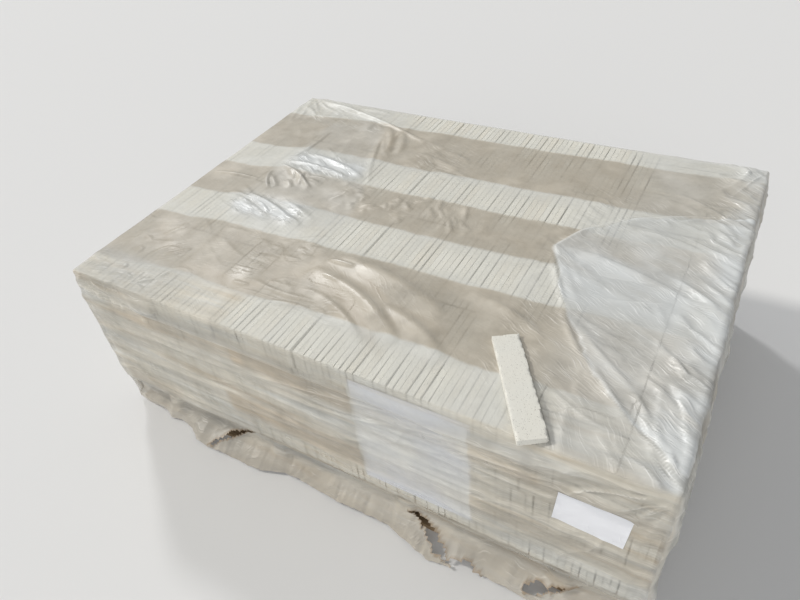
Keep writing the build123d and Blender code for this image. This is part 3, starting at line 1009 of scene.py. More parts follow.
def wrinkle_group():
    """Small wrinkles of slack film: short rounded strokes that run one way, as a height."""
    inputs = {"Vector": None, "Turn": 0.0, "Length": 0.05, "Width": 0.006, "Share": 0.5}
    tree, given, result = new_group("Small wrinkles", inputs, ("Height",))
    bend = vector_math("MULTIPLY", noise(given["Vector"], 16.0, 1.0)[1], (0.03, 0.03, 0.0))
    lengthwise = turned(vector_math("ADD", given["Vector"], bend), given["Turn"] * -1.0)
    cell = vector_math("MULTIPLY", lengthwise, joined(1.0 / given["Length"], 1.0 / given["Width"]))
    strokes = voronoi(cell, 1.0, voronoi_dimensions="2D")
    rank = add_node(tree, "ShaderNodeSeparateColor", {"Color": strokes["Color"]})
    chosen = calculate("LESS_THAN", rank[0], given["Share"])
    rounded = remap(strokes["Distance"], 0.0, 0.48, 1.0, 0.0)
    fill(result, {"Height": rounded**1.5 * remap(rank[1], 0, 1, 0.35, 1.0) * chosen})
    return tree


def stripe_group():
    """A printed stripe between two places across the film."""
    inputs = {"Across": 0.0, "From": 0.0, "To": 0.1, "Blur": 0.003}
    tree, given, result = new_group("Printed stripe", inputs, ("Mask",))
    entered = held((given["Across"] - given["From"]) / given["Blur"])
    left = held((given["To"] - given["Across"]) / given["Blur"])
    fill(result, {"Mask": entered * left})
    return tree


def grain_group():
    """Grain of a rough-sawn board, along X."""
    tree, given, result = new_group("Wood grain", {"Vector": None}, ("Grain", "Height"))
    shift = vector_math("MULTIPLY", noise(given["Vector"], 3.0, 3.0)[1], (0.0, 0.5, 0.5))
    rings = noise(vector_math("ADD", given["Vector"], shift), 9.0, 6.0, 0.7)[0]
    fill(result, {"Grain": remap(rings, 0.35, 0.68), "Height": rings})
    return tree


def shared_groups():
    """The shared effects, built once."""
    return {
        "speck": speck_group(),
        "cloud": cloud_group(),
        "crease": crease_group(),
        "wrinkle": wrinkle_group(),
        "stripe": stripe_group(),
        "grain": grain_group(),
    }


GROUPS = {}


# Materials


def new_material(name):
    """A material, its node tree, the inputs of its surface shader and the place on the object."""
    material = bpy.data.materials.new(name)
    material.use_nodes = True
    tree = material.node_tree
    place = add_node(tree, "ShaderNodeTexCoord")["Object"]
    return material, tree, tree.nodes["Principled BSDF"].inputs, place


def cloudy(place, size, contrast):
    """Where soft patches of this size are, 0 to 1."""
    return use_group(tree_of(place), "cloud", {"Vector": place, "Size": size, "Contrast": contrast})["Mask"]


def finish(shader, base, rough, height, strength, distance):
    """Feeds colour, roughness and a height for bump into a shader."""
    values = {"Height": height, "Strength": strength, "Distance": distance}
    normal = add_node(tree_of(height), "ShaderNodeBump", values)[0]
    fill(shader, {"Base Color": base, "Roughness": rough, "Normal": normal})


def brick_material(look, name, speck_size, amount):
    """Fired clay, off-white, with dark specks, warm bricks among the rest and dusty patches."""
    material, tree, shader, place = new_material(name)
    tone = attribute(tree, "tone")
    fine = cloudy(place, 0.006, 0.25)
    specks = use_group(tree, "speck", {"Vector": place, "Size": speck_size, "Amount": amount})
    base = mixed(tone**2.5 * 0.6, look.body, look.warm)
    shade = remap(calculate("FRACT", tone * 7.31), 0, 1, 0.92, 1.0)
    darker = add_node(tree, "ShaderNodeCombineColor", {0: shade, 1: shade, 2: shade})[0]
    base = mixed(1.0, base, darker, "MULTIPLY")
    base = mixed(cloudy(place, 0.09, 0.22) * 0.22, base, look.warm)
    base = mixed(fine * 0.18, base, CLAY_DUST)
    base = mixed(specks["Mask"] * 0.55, base, look.speck)
    finish(shader, base, remap(fine, 0, 1, 0.78, 0.95), specks["Height"], 0.7, 0.0012)
    return material


CLAY_DUST = (0.86, 0.85, 0.80)


def film_material(film):
    """Printed clear film: tan stripes, milky patches, streaked creases, dusty hem and torn rims, with painted
    highlights on the folds and painted shade beside them, in hollows and in the rims of the tears.
    """
    material, tree, shader, place = new_material("film")
    spot = add_node(tree, "ShaderNodeUVMap", uv_map="film")[0]
    parts = add_node(tree, "ShaderNodeSeparateXYZ", {0: spot})
    masks = [attribute(tree, name) for name in FILM_MASKS]
    haze, lift, veil, hollow, tint, thin, crease, rim, wrinkled, turn = masks

    # The edges of the print, the hem and the darkening near the floor wander a little
    waved = (noise(place, 4.0, 1.0)[0] - 0.5) * 0.030 + (noise(place, 22.0, 2.0)[0] - 0.5) * 0.014
    across = parts[1] + parts[0] * -STRIPE_SKEW + waved + remap(parts[0], 0.12, 0.26, 0.024, 0.0)
    print_mask = 0.0
    for start, end in STRIPES:
        stripe = {"Across": across, "From": TOP_HIGH.z + start, "To": TOP_HIGH.z + end, "Blur": 0.008}
        print_mask = held(use_group(tree, "stripe", stripe)["Mask"] + print_mask)
    print_mask = calculate("MAXIMUM", print_mask, tint)
    above_floor = parts[1] + waved
    hem = 1.0 - remap(above_floor, 0.030, 0.085)
    low_down = 1.0 - remap(above_floor, 0.116, 0.134)
    # Darker towards the floor, at the foot of the hem
    darker_near_floor = 1.0 - remap(above_floor, 0.0, 0.028)

    # Long, short and thin strokes of small wrinkles
    def strokes(turn, length, width, share):
        values = {"Vector": spot, "Turn": turn, "Length": length, "Width": width, "Share": share}
        return use_group(tree, "wrinkle", values)["Height"]

    on_side = remap(veil, 0.0, 0.35)
    amount = wrinkled * remap(cloudy(spot, 0.06, 0.16), 0, 1, 0.3, 1.0)
    wrinkles = strokes(turn, 0.090, 0.0085, 0.50) + strokes(turn + 0.42, 0.038, 0.0068, 0.50) * 0.6
    threads = strokes(turn - 0.12, 0.075, 0.0042, 0.45) * calculate("MAXIMUM", amount, on_side * 0.30)
    wrinkles = wrinkles * amount + threads * 0.45
    # Painted highlights on fold tops and wrinkles, and painted shade beside the folds
    fold_highlight = held(remap(crease, 0.15, 1.0) + wrinkles * 0.8)
    fold_shade = remap(crease, -0.10, -0.9)

    # Bands along the sides, grey bands of painted shade, dust and smudges
    bands = cloudy(scaled(spot, (1.6, 17.0, 1.0), 1), 1.0, 0.16)
    shade_bands = cloudy(scaled(spot, (2.7, 23.0, 1.0), -2), 1.0, 0.14)
    dust = cloudy(place, 0.12, 0.25)
    layers = (
        (remap(bands, 0.05, 0.45) * on_side * 0.70, film.cream),
        (remap(bands, 0.62, 0.95) * on_side * 0.70, film.buff),
        (print_mask, film.stripe),
        (tint, film.buff),
        (cloudy(spot, 0.07, 0.20) * print_mask * 0.38, film.smudge_and_shade),
        # Painted shade in grey bands along the sides
        (shade_bands * on_side * 0.52, film.hollow),
        (haze, film.milky),
        # Painted shade beside the folds, then painted highlights on fold tops and wrinkles
        (fold_shade * 0.35, film.hollow),
        (fold_highlight * 0.22, GLINT),
        # Painted highlights on the thin wrinkles
        (held(threads * 0.65), GLINT),
        (hem * 0.62, film.hem),
        # Painted shade in hollows: grey in front, the smudge colour in the valleys on top
        (hollow * 0.80, mixed(on_side, film.smudge_and_shade, film.hollow)),
        (dust * 0.10, film.hem),
        # Darker towards the floor
        (darker_near_floor * 0.30, film.smudge_and_shade),
        # Torn rims: the film's brown edge, darkened as painted shade inside the tears
        (rim, film.torn),
    )
    base = film.clear
    for share, tone in layers:
        base = mixed(share, base, tone)

    # How much the film hides of what is beneath it
    cover = remap(print_mask, 0, 1, film.clear_cover, film.stripe_cover)
    cover = held(cover * remap(cloudy(spot, 0.15, 0.18), 0, 1, 0.60, 1.32))
    cover = cover * remap(thin * (1.0 - print_mask), 0, 1, 1.0, 0.42)
    cover = calculate("MAXIMUM", cover, haze * (film.milky_cover + 0.2))
    for more in (veil * 0.10, hollow * 0.30, lift * 0.22, fold_highlight * 0.20, threads * 0.50):
        cover = held(cover + more)
    for least in (hem * 0.80, low_down * remap(veil, 0.10, 0.30) * 0.80, rim):
        cover = calculate("MAXIMUM", cover, least)
    fill(shader, {"Alpha": cover})

    rough = remap(calculate("MAXIMUM", lift * 0.45, amount), 0.05, 0.6, 0.48, 0.24)
    rough = held(rough + haze * 0.05 + dust * 0.06 + hem * 0.20)
    cracks = {"Vector": scaled(place, (1.0, 3.2, 3.2), 18), "Size": 0.075, "Width": 0.10}
    height = wrinkles + use_group(tree, "crease", cracks)["Height"] * 0.26 + bands * on_side * 0.6
    finish(shader, base, rough, height, 0.9, 0.0024)
    return material


# The masks on the film's mesh, and the colour of light on a crease
FILM_MASKS = ("haze", "lift", "veil", "hollow", "tint", "thin", "crease", "rim", "wrinkles", "turn")
GLINT = (0.90, 0.90, 0.89)

# Stripes of the print, as places back from the front top edge, and how much they slant to the right
STRIPES = ((0.110, 0.365), (0.510, 0.690), (0.830, 1.080))
STRIPE_SKEW = 0.021


def paper_material(name, base, crease_size):
    """Plain creased paper, with painted highlights along its creases."""
    material, tree, shader, place = new_material(name)
    creases = use_group(tree, "crease", {"Vector": place, "Size": crease_size, "Width": 0.08})
    worn = cloudy(place, 0.08, 0.3)
    shade = mixed(worn * 0.25, base, tuple(part * 0.82 for part in base))
    # Painted highlights along the creases
    shade = mixed(creases["Streak"] * 0.3, shade, (0.92, 0.93, 0.95))
    finish(shader, shade, remap(worn, 0, 1, 0.35, 0.55), creases["Height"], 0.7, 0.0022)
    return material


def wood_material(name, turn):
    """Rough softwood, greyed and dusty, with its grain turned this many degrees from X."""
    material, tree, shader, place = new_material(name)
    grain = use_group(tree, "grain", {"Vector": scaled(place, (1.0, 9.0, 9.0), turn)})
    base = mixed(grain["Grain"], colour(118, 92, 64), colour(178, 150, 112))
    base = mixed(cloudy(place, 0.05, 0.3) * 0.4, base, colour(140, 130, 116))
    finish(shader, base, remap(grain["Grain"], 0, 1, 0.9, 0.75), grain["Height"], 0.6, 0.0015)
    return material


# Bricks by Geometry Nodes

# How far a brick's edges are worn, how rough its faces are, and the depth and share of its chips
WEAR, ROUGHNESS = 0.0006, 0.0003
CHIP_DEPTH, CHIP_SHARE = 0.0014, 0.07

# How many unlike bricks there are, the rings of corners along each, and how far its inner rings are moved
BRICK_VARIANTS = 5
SECTIONS, SECTION_SHIFT = 5, 0.02

# How far a brick leans to one side, in radians
LEAN = math.radians(0.12)


def brick_mesh(name, look, seed):
    """One brick on its long edge, with worn edges and small chips. It lies along Y, foot at the origin."""
    draw = np.random.default_rng(seed)
    half_thick, half_long = look.thickness / 2, look.length / 2
    inner, high = half_thick - WEAR, BRICK_HEIGHT - WEAR
    outline = (
        (-inner, 0), (inner, 0), (half_thick, WEAR), (half_thick, high),
        (inner, BRICK_HEIGHT), (-inner, BRICK_HEIGHT), (-half_thick, high), (-half_thick, WEAR),
    )
    made = bmesh.new()
    rings = []
    for section in range(SECTIONS):
        y = -half_long + section * look.length / (SECTIONS - 1)
        y += 0 if section in (0, SECTIONS - 1) else draw.uniform(-SECTION_SHIFT, SECTION_SHIFT)
        ring = []
        for x, z in outline:
            inward = draw.uniform(0, ROUGHNESS) + (CHIP_DEPTH if draw.random() < CHIP_SHARE else 0)
            shrink_z = inward if z > BRICK_HEIGHT / 2 else -inward * 0.3
            ring.append(made.verts.new((x - math.copysign(inward, x), y, z - shrink_z)))
        rings.append(ring)
    for first, second in zip(rings, rings[1:]):
        for i in range(len(outline)):
            j = (i + 1) % len(outline)
            made.faces.new((first[i], first[j], second[j], second[i]))
    made.faces.new(rings[0][::-1])
    made.faces.new(rings[-1])
    bmesh.ops.recalc_face_normals(made, faces=made.faces)
    return finished_mesh(name, made)


def finished_mesh(name, made):
    """A mesh from what was made with bmesh."""
    mesh = bpy.data.meshes.new(name)
    made.to_mesh(mesh)
    made.free()
    return mesh


def brick_variants(look):
    """A collection of unlike bricks for the courses to draw from."""
    collection = bpy.data.collections.new("brick_variants")
    bpy.context.scene.collection.children.link(collection)
    for seed in range(BRICK_VARIANTS):
        mesh = brick_mesh(f"brick_variant_{seed}", look, seed)
        collection.objects.link(bpy.data.objects.new(mesh.name, mesh))
    return collection


def new_geometry(name, sockets):
    """A tree of geometry nodes with inputs of these kinds, what is given to it, and where its result goes."""
    tree = bpy.data.node_groups.new(name, "GeometryNodeTree")
    for label, kind in sockets.items():
        tree.interface.new_socket(label, in_out="INPUT", socket_type=f"NodeSocket{kind}")
    tree.interface.new_socket("Geometry", in_out="OUTPUT", socket_type="NodeSocketGeometry")
    given = add_node(tree, "NodeGroupInput")
    return tree, given, tree.nodes.new("NodeGroupOutput").inputs


def random_value(kind, low, high, seed, offset=0):
    """A random value from low to high for each brick."""
    low_at, high_at, result_at = {"FLOAT": (2, 3, 1), "INT": (4, 5, 2)}[kind]
    values = {low_at: low, high_at: high, "Seed": seed + offset}
    return add_node(tree_of(seed), "FunctionNodeRandomValue", values, data_type=kind)[result_at]


# What the geometry nodes are given: for every block of bricks, then for one block, then for a whole course
SHARED_SOCKETS = {
    "Bricks": "Collection", "Cluster": "Float", "Squeeze": "Float", "Shift": "Float", "Sway": "Float",
}
BLOCK_SOCKETS = {
    "Across": "Int", "Rows": "Int", "Step": "Float", "Row Step": "Float", "Start": "Vector", "Seed": "Int",
}
COURSE_SOCKETS = {
    "Material": "Material", "Turned": "Int", "Turned Step": "Float", "Turned Start": "Vector",
    "Turned Facing": "Float",
}


def block_tree():
    """Geometry nodes that lay one block of bricks: rows of bricks side by side, in close clusters."""
    sockets = {**SHARED_SOCKETS, **BLOCK_SOCKETS, "Turn": "Float", "Facing": "Float"}
    tree, given, result = new_geometry("Brick block", sockets)
    across, cluster, turn, seed = (given[name] for name in ("Across", "Cluster", "Turn", "Seed"))
    count = across * given["Rows"]
    line = add_node(tree, "GeometryNodeMeshLine", {"Count": count, "Offset": (0, 0, 0)}, mode="OFFSET")[0]
    index = add_node(tree, "GeometryNodeInputIndex")[0]
    column = index % across
    row = calculate("FLOOR", (index + 0.01) / across)
    slid = column + row * 2.0
    wider = cluster + 4.0
    off_middle = slid % cluster - (cluster / 2.0 - 0.5) + (slid % wider - wider / 2.0) * 0.7
    sway = random_value("FLOAT", -1.0, 1.0, seed, 7) * given["Sway"]
    along = column * given["Step"] - off_middle * given["Squeeze"] + sway
    rear = calculate("GREATER_THAN", row, given["Rows"] / 2.0 - 0.4)
    inward = given["Facing"] - rear * 2.0
    back = row * given["Row Step"] + random_value("FLOAT", 0.0, 1.0, seed) * inward * given["Shift"]
    place = vector_math("ADD", turned(joined(along, back), turn), given["Start"])
    points = add_node(tree, "GeometryNodeSetPosition", {"Geometry": line, "Position": place})[0]
    chosen = {"Collection": given["Bricks"], "Separate Children": True, "Reset Children": True}
    laid = {
        "Points": points,
        "Instance": add_node(tree, "GeometryNodeCollectionInfo", chosen)[0],
        "Pick Instance": True,
        "Instance Index": random_value("INT", 0, BRICK_VARIANTS - 1, seed, 9),
        "Rotation": joined(0.0, 0.0, turn + random_value("FLOAT", -1.0, 1.0, seed, 5) * LEAN),
    }
    toned = {
        "Geometry": add_node(tree, "GeometryNodeInstanceOnPoints", laid)[0],
        "Name": "tone",
        "Value": random_value("FLOAT", 0.0, 1.0, seed, 3),
    }
    settings = {"data_type": "FLOAT", "domain": "INSTANCE"}
    fill(result, {0: add_node(tree, "GeometryNodeStoreNamedAttribute", toned, **settings)[0]})
    return tree


def course_tree():
    """Geometry nodes for one whole course: the main block and the turned bricks at one end."""
    sockets = {"Geometry": "Geometry", **SHARED_SOCKETS, **BLOCK_SOCKETS, **COURSE_SOCKETS}
    tree, given, result = new_geometry("Brick course", sockets)
    shared = {name: given[name] for name in SHARED_SOCKETS}
    ahead = {**shared, **{name: given[name] for name in BLOCK_SOCKETS}, "Turn": 0.0, "Facing": 1.0}
    aside = {
        **shared,
        "Across": given["Turned"],
        "Rows": 1,
        "Step": given["Turned Step"],
        "Start": given["Turned Start"],
        "Seed": given["Seed"] + 100.0,
        "Turn": math.pi / 2,
        "Facing": given["Turned Facing"],
    }
    join = tree.nodes.new("GeometryNodeJoinGeometry")
    for values in (ahead, aside):
        fill(join.inputs, {0: use_group(tree, "block", values)[0]})
    real = add_node(tree, "GeometryNodeRealizeInstances", {"Geometry": Wire(join.outputs[0])})[0]
    finished = {"Geometry": real, "Material": given["Material"]}
    fill(result, {0: add_node(tree, "GeometryNodeSetMaterial", finished)[0]})
    return tree


def course_inputs(look, number, turned_end, bricks, material):
    """The values that one course gives to its geometry nodes."""
    step = look.thickness + look.joint
    block = look.across * step - look.joint
    turned_count = int((PACK_DEPTH + look.joint) // step)
    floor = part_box(COURSES[number])[0].z
    half_long, half_thick = look.length / 2, look.thickness / 2
    left = TOP_LOW.x if turned_end == RIGHT else TOP_HIGH.x - block
    turned_middle = TOP_HIGH.x - half_long if turned_end == RIGHT else TOP_LOW.x + half_long
    return {
        "Bricks": bricks,
        "Material": material,
        "Across": look.across,
        "Rows": look.rows,
        "Turned": turned_count,
        "Step": step,
        "Row Step": look.length + look.row_gap,
        "Turned Step": (PACK_DEPTH - look.thickness) / (turned_count - 1),
        "Start": (left + half_thick, TOP_LOW.y + half_long, floor),
        "Turned Start": (turned_middle, TOP_LOW.y + half_thick, floor),
        "Cluster": float(look.cluster),
        "Squeeze": look.squeeze,
        "Shift": look.shift,
        "Sway": look.sway,
        "Turned Facing": float(turned_end),
        "Seed": 11 * number + 5,
    }


def plain_mesh(holder, tree, values):
    """Runs geometry nodes on an empty object and returns the result as a plain mesh."""
    modifier = holder.modifiers.new(tree.name, "NODES")
    modifier.node_group = tree
    for item in tree.interface.items_tree:
        if item.item_type == "SOCKET" and item.in_out == "INPUT" and item.name in values:
            modifier[item.identifier] = values[item.name]
    bpy.context.view_layer.update()
    graph = bpy.context.evaluated_depsgraph_get()
    laid = holder.evaluated_get(graph)
    mesh = bpy.data.meshes.new_from_object(laid, preserve_all_data_layers=True, depsgraph=graph)
    holder.modifiers.remove(modifier)
    return mesh


class BRICKPACK_OT_bricks(bpy.types.Operator):
    """Make every brick of the seven courses"""

    bl_idname = "brickpack.bricks"
    bl_label = "Brick Courses"

    def execute(self, context):
        look = context.scene.brickpack_bricks
        material = brick_material(look, "brick", 0.004, 0.16)
        bricks = brick_variants(look)
        GROUPS["block"] = block_tree()
        tree = course_tree()
        holder = bpy.data.objects.new("course_holder", bpy.data.meshes.new("course_holder"))
        context.scene.collection.objects.link(holder)
        for number, node in enumerate(COURSES):
            values = course_inputs(look, number, TURNED_ENDS[number], bricks, material)
            mesh = plain_mesh(holder, tree, values)
            mesh.name = f"bricks_{number + 1}"
            piece = new_object(f"bricks_{number + 1}", mesh, material)
            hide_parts(node)
        bpy.data.objects.remove(holder)
        for variant in list(bricks.objects):
            bpy.data.objects.remove(variant)
        bpy.data.collections.remove(bricks)
        return {"FINISHED"}


class BRICKPACK_OT_loose_brick(bpy.types.Operator):
    """Make the loose brick on top, with its worn and chipped edges"""

    bl_idname = "brickpack.loose_brick"
    bl_label = "Loose Brick"

    def execute(self, context):
        look = context.scene.brickpack_bricks
        material = brick_material(look, "loose_brick", 0.0026, 0.34)
        piece = new_object("brick_on_top", loose_brick_mesh(look), material)
        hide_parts("loose_brick")
        return {"FINISHED"}


# The loose brick: its turn about Z in degrees, the radius of its edges, how chipped its far side is beside
# the rest, its place among the tones of the bricks, and how often each of its sides is cut
LOOSE_TURN = -57.2
LOOSE_RADIUS = 0.0016
CHIPPED_SIDE = 1.6
LOOSE_TONE = 0.14
LOOSE_CUTS = (72, 17, 4)


def loose_brick_mesh(look):
    """The loose brick, lying flat: a close grid with rounded, chipped edges and a rough face."""
    low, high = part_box("loose_brick")
    centre = (low + high) / 2
    size = np.array([look.length, BRICK_HEIGHT, look.thickness])
    half = size / 2
    made = bmesh.new()
    bmesh.ops.create_cube(made, size=1.0)
    bmesh.ops.scale(made, vec=size.tolist(), verts=made.verts)
    for axis, cuts in enumerate(LOOSE_CUTS):
        lengthwise = [e for e in made.edges if abs(e.verts[0].co[axis] - e.verts[1].co[axis]) > half[axis]]
        bmesh.ops.subdivide_edges(made, edges=lengthwise, cuts=cuts, use_grid_fill=True)
    places = np.array([v.co for v in made.verts])
    inner = np.clip(places, -half + LOOSE_RADIUS, half - LOOSE_RADIUS)
    away = places - inner
    rounded = inner + away / np.maximum(np.linalg.norm(away, axis=1), 1e-9)[:, None] * LOOSE_RADIUS
    rough = smooth_noise(places / 0.006, 5) * 0.00018 + smooth_noise(places / 0.0023, 6) * 0.00010
    to_edge = np.sort(half - np.abs(places), axis=1)[:, 1]
    chips = np.clip(smooth_noise(places / 0.008, 8) - 0.1, 0, 1) * np.exp(-to_edge / 0.0030) * 0.0016
    chips += np.clip(smooth_noise(places / 0.0045, 9), 0, 1) * np.exp(-to_edge / 0.0016) * 0.0008
    chips *= 1 + CHIPPED_SIDE * (places[:, 1] > 0.4 * BRICK_HEIGHT)
    settled = rounded - np.sign(places) * np.stack([chips * 0.6, chips, chips * 0.8], axis=1)
    settled[:, 2] += rough * (places[:, 2] > 0)
    turn = Euler((0, 0, math.radians(LOOSE_TURN))).to_matrix()
    for vert, place in zip(made.verts, settled):
        vert.co = turn @ Vector(place) + centre
    bmesh.ops.recalc_face_normals(made, faces=made.faces)
    mesh = finished_mesh("brick_on_top", made)
    smooth(mesh, 50)
    write_attribute(mesh, "tone", np.full(len(mesh.vertices), LOOSE_TONE))
    return mesh


class BRICKPACK_OT_film(bpy.types.Operator):
    """Make the printed film with its folds and torn hem"""

    bl_idname = "brickpack.film"
    bl_label = "Film"

    def execute(self, context):
        film = context.scene.brickpack_film
        material = film_material(film)
        for name, grids in film_grids(film).items():
            piece = new_object(name, film_mesh(name, grids, film), material)
            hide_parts("film_cover")
        return {"FINISHED"}


def film_mesh(name, grids, film):
    """One piece of the film as a mesh, its grids joined along their edges."""
    places, spots, faces, torn = [], [], [], []
    masks = {}
    start = 0
    for flat, spot, turned_over in grids:
        rows, columns = flat.shape[:2]
        placed, found, open_here = shaped_grid(flat, film)
        if name == "film_front":
            straighten_ends(placed, rows, columns)
        ring = grid_faces(rows, columns, turned_over, start)
        places.append(placed)
        faces.append(ring)
        spots.append(spot.reshape(-1, 2)[ring - start])
        torn.append(open_here)
        for key, values in found.items():
            masks.setdefault(key, []).append(values)
        start += len(placed)
    faces, spots = np.concatenate(faces), np.concatenate(spots)
    kept = ~np.concatenate(torn)[faces].all(axis=1)
    mesh = bpy.data.meshes.new(name)
    mesh.from_pydata(np.concatenate(places).tolist(), [], faces[kept].tolist())
    layer = mesh.uv_layers.new(name="film")
    layer.data.foreach_set("uv", spots[kept].astype(np.float32).ravel())
    for key, values in masks.items():
        write_attribute(mesh, key, np.concatenate(values))
    join_edges(mesh)
    smooth(mesh)
    return mesh


def join_edges(mesh):
    """Deletes corners that no face uses and joins grids that meet."""
    made = bmesh.new()
    made.from_mesh(mesh)
    bmesh.ops.delete(made, geom=[v for v in made.verts if not v.link_faces], context="VERTS")
    bmesh.ops.remove_doubles(made, verts=[v for v in made.verts if v.is_boundary], dist=0.00001)
    made.to_mesh(mesh)
    made.free()


class BRICKPACK_OT_papers(bpy.types.Operator):
    """Make the plain sheet under the film and the plain label on it"""

    bl_idname = "brickpack.papers"
    bl_label = "Papers"

    def execute(self, context):
        papers = context.scene.brickpack_papers
        film = context.scene.brickpack_film
        for name, node, base, tilt in (
            ("plain_sheet", "white_sheet", papers.sheet, 0.0),
            ("plain_label", "label", papers.label, LABEL_TILT),
        ):
            mesh, flat = paper_mesh(name, node, tilt, papers, film)
            material = paper_material(name, base, 0.05 if node == "white_sheet" else 0.03)
            piece = new_object(name, mesh, material)
            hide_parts(node)
        return {"FINISHED"}


# The label leans to the right by this many degrees. Then the size of a paper's cells, and how far the sheet
# stands off the bricks and the label off the film
LABEL_TILT = 4.0
PAPER_CELL = 0.006
SHEET_LIFT, LABEL_LIFT = 0.0006, 0.0012


def paper_mesh(name, node, tilt, papers, film):
    """A paper that follows the front of the pack, with its own creases, and its flat size."""
    low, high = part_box(node)
    turn = math.radians(tilt)
    cos, sin = math.cos(turn), math.sin(turn)
    wide, tall = high.x - low.x, high.z - low.z
    if tilt:
        spread = cos**2 - sin**2
        wide, tall = (wide * cos - tall * sin) / spread, (tall * cos - wide * sin) / spread
    columns, rows = int(wide / PAPER_CELL), int(tall / PAPER_CELL)
    across = np.linspace(-wide / 2, wide / 2, columns + 1)
    up = np.linspace(-tall / 2, tall / 2, rows + 1)
    a, b = (part.ravel() for part in np.meshgrid(across, up))
    x = (low.x + high.x) / 2 + a * cos + b * sin
    z = (low.z + high.z) / 2 - a * sin + b * cos
    u = x - TOP_LOW.x
    if node == "label":
        out = film.gap + np.maximum(film_on_front(u, z, film) - 0.0005, 0) + LABEL_LIFT
    else:
        out = SHEET_LIFT + 0.5 * papers.curl * ridges(u, z, 0, 0.3, 0.05, 101)
    y = TOP_LOW.y - out
    faces = []
    for i in range(rows):
        for j in range(columns):
            k = i * (columns + 1) + j
            faces.append((k, k + 1, k + columns + 2, k + columns + 1))
    mesh = bpy.data.meshes.new(name)
    mesh.from_pydata(list(zip(x, y, z)), [], faces)
    smooth(mesh)
    return mesh, (wide, tall)


class BRICKPACK_OT_pallet(bpy.types.Operator):
    """Finish the pallet's boards and stringers in rough wood"""

    bl_idname = "brickpack.pallet"
    bl_label = "Pallet"

    def execute(self, context):
        boards = wood_material("boards", 0)
        beams = wood_material("stringers", 90)
        for name, node in frame["nodes"].items():
            if name.startswith("pallet_"):
                node.data.materials.clear()
                node.data.materials.append(beams if "stringer" in name else boards)
        return {"FINISHED"}


class BRICKPACK_OT_stage(bpy.types.Operator):
    """Set up the camera, the floor and the light"""

    bl_idname = "brickpack.stage"
    bl_label = "Stage"

    def execute(self, context):
        look = context.scene.brickpack_stage
        scene = context.scene
        scene.view_settings.view_transform = "Standard"
        camera = bpy.data.objects.new("camera", bpy.data.cameras.new("camera"))
        camera.data.lens = look.lens
        camera.location = CAMERA_PLACE
        camera.rotation_euler = Euler([math.radians(part) for part in CAMERA_TURN])
        scene.collection.objects.link(camera)
        scene.camera = camera
        make_floor(look)
        for name, values in LAMPS.items():
            make_light(name, *values)
        make_world()
        return {"FINISHED"}


# The camera's place, and its turn in degrees
CAMERA_PLACE = (0.7801, -1.3217, 1.6216)
CAMERA_TURN = (48.689, 5.135, 29.365)

# Where each lamp shines from, its strength, its spread in degrees and its colour
LAMPS = {
    "key": ((-0.80, -0.15, 0.58), 1.85, 6, colour(255, 252, 246)),
    "gloss": ((-0.62, 0.45, 0.64), 0.9, 6, (1, 1, 1)),
    "fill": ((0.30, -1.0, 0.36), 1.05, 60, (1, 1, 1)),
}

# The size of the floor, the colour of the sky, and how bright it shines and how bright it looks
FLOOR_SIZE = 14.0
SKY = (0.97, 0.985, 1.0, 1)
SKY_LIGHT, SKY_SEEN = 0.37, 0.52


def make_light(name, source, strength, spread, tint):
    """A broad soft lamp that shines from source towards the pack."""
    lamp = bpy.data.lights.new(name, "SUN")
    lamp.energy = strength
    lamp.angle = math.radians(spread)
    lamp.color = tint
    placed = bpy.data.objects.new(name, lamp)
    placed.rotation_euler = Vector(source).to_track_quat("Z", "Y").to_euler()
    bpy.context.scene.collection.objects.link(placed)


def make_floor(look):
    """A wide plain floor."""
    made = bmesh.new()
    bmesh.ops.create_grid(made, x_segments=1, y_segments=1, size=FLOOR_SIZE)
    mesh = finished_mesh("floor", made)
    floor = bpy.data.objects.new("floor", mesh)
    bpy.context.scene.collection.objects.link(floor)
    material, _, shader, _ = new_material("floor")
    fill(shader, {"Base Color": (*look.floor, 1), "Roughness": 0.9})
    mesh.materials.append(material)


def make_world():
    """An even pale sky, which the camera and reflections see paler than it shines."""
    world = bpy.data.worlds.new("sky")
    world.use_nodes = True
    ray = add_node(world.node_tree, "ShaderNodeLightPath")
    seen = held(held(ray["Is Camera Ray"] + ray["Is Glossy Ray"]) + ray["Is Transmission Ray"])
    shine = {"Color": SKY, "Strength": remap(seen, 0, 1, SKY_LIGHT, SKY_SEEN)}
    fill(world.node_tree.nodes["Background"].inputs, shine)
    bpy.context.scene.world = world


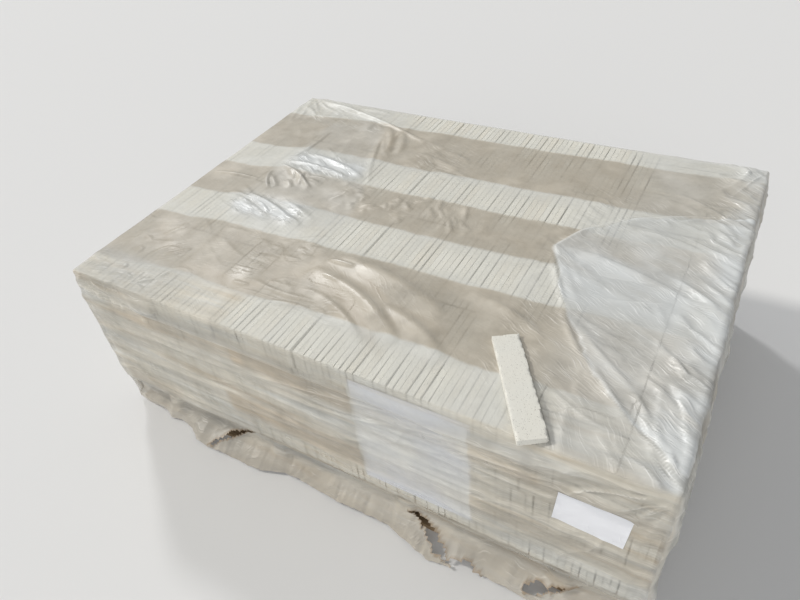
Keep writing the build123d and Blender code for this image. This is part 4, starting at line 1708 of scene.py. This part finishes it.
class BRICKPACK_PT_panel(bpy.types.Panel):
    """Lists the pieces of the pack"""

    bl_idname = "BRICKPACK_PT_panel"
    bl_label = "Brick Pallet"
    bl_space_type = "VIEW_3D"
    bl_region_type = "UI"
    bl_category = "Brick Pallet"

    def draw(self, context):
        for group, operators in PANEL_ROWS:
            box = self.layout.box()
            settings = getattr(context.scene, group) if group else None
            for name in settings.__annotations__ if settings else ():
                box.prop(settings, name)
            for operator in operators:
                box.operator(operator.bl_idname)


SETTINGS = {
    "brickpack_bricks": BRICKPACK_PG_bricks,
    "brickpack_film": BRICKPACK_PG_film,
    "brickpack_papers": BRICKPACK_PG_papers,
    "brickpack_stage": BRICKPACK_PG_stage,
}
OPERATORS = (
    BRICKPACK_OT_stage,
    BRICKPACK_OT_pallet,
    BRICKPACK_OT_bricks,
    BRICKPACK_OT_loose_brick,
    BRICKPACK_OT_film,
    BRICKPACK_OT_papers,
)
PANEL_ROWS = (
    ("brickpack_bricks", (BRICKPACK_OT_bricks, BRICKPACK_OT_loose_brick)),
    ("brickpack_film", (BRICKPACK_OT_film,)),
    ("brickpack_papers", (BRICKPACK_OT_papers,)),
    ("brickpack_stage", (BRICKPACK_OT_pallet, BRICKPACK_OT_stage)),
)


def register():
    for settings in SETTINGS.values():
        bpy.utils.register_class(settings)
    for operator in OPERATORS:
        bpy.utils.register_class(operator)
    bpy.utils.register_class(BRICKPACK_PT_panel)
    for name, settings in SETTINGS.items():
        setattr(bpy.types.Scene, name, PointerProperty(type=settings))


def unregister():
    for name in SETTINGS:
        delattr(bpy.types.Scene, name)
    for made in (BRICKPACK_PT_panel, *reversed(OPERATORS), *SETTINGS.values()):
        bpy.utils.unregister_class(made)


def main():
    """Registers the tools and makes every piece."""
    register()
    GROUPS.update(shared_groups())
    bpy.ops.brickpack.stage()
    bpy.ops.brickpack.pallet()
    bpy.ops.brickpack.bricks()
    bpy.ops.brickpack.loose_brick()
    bpy.ops.brickpack.film()
    bpy.ops.brickpack.papers()


if __name__ == "__main__":
    main()
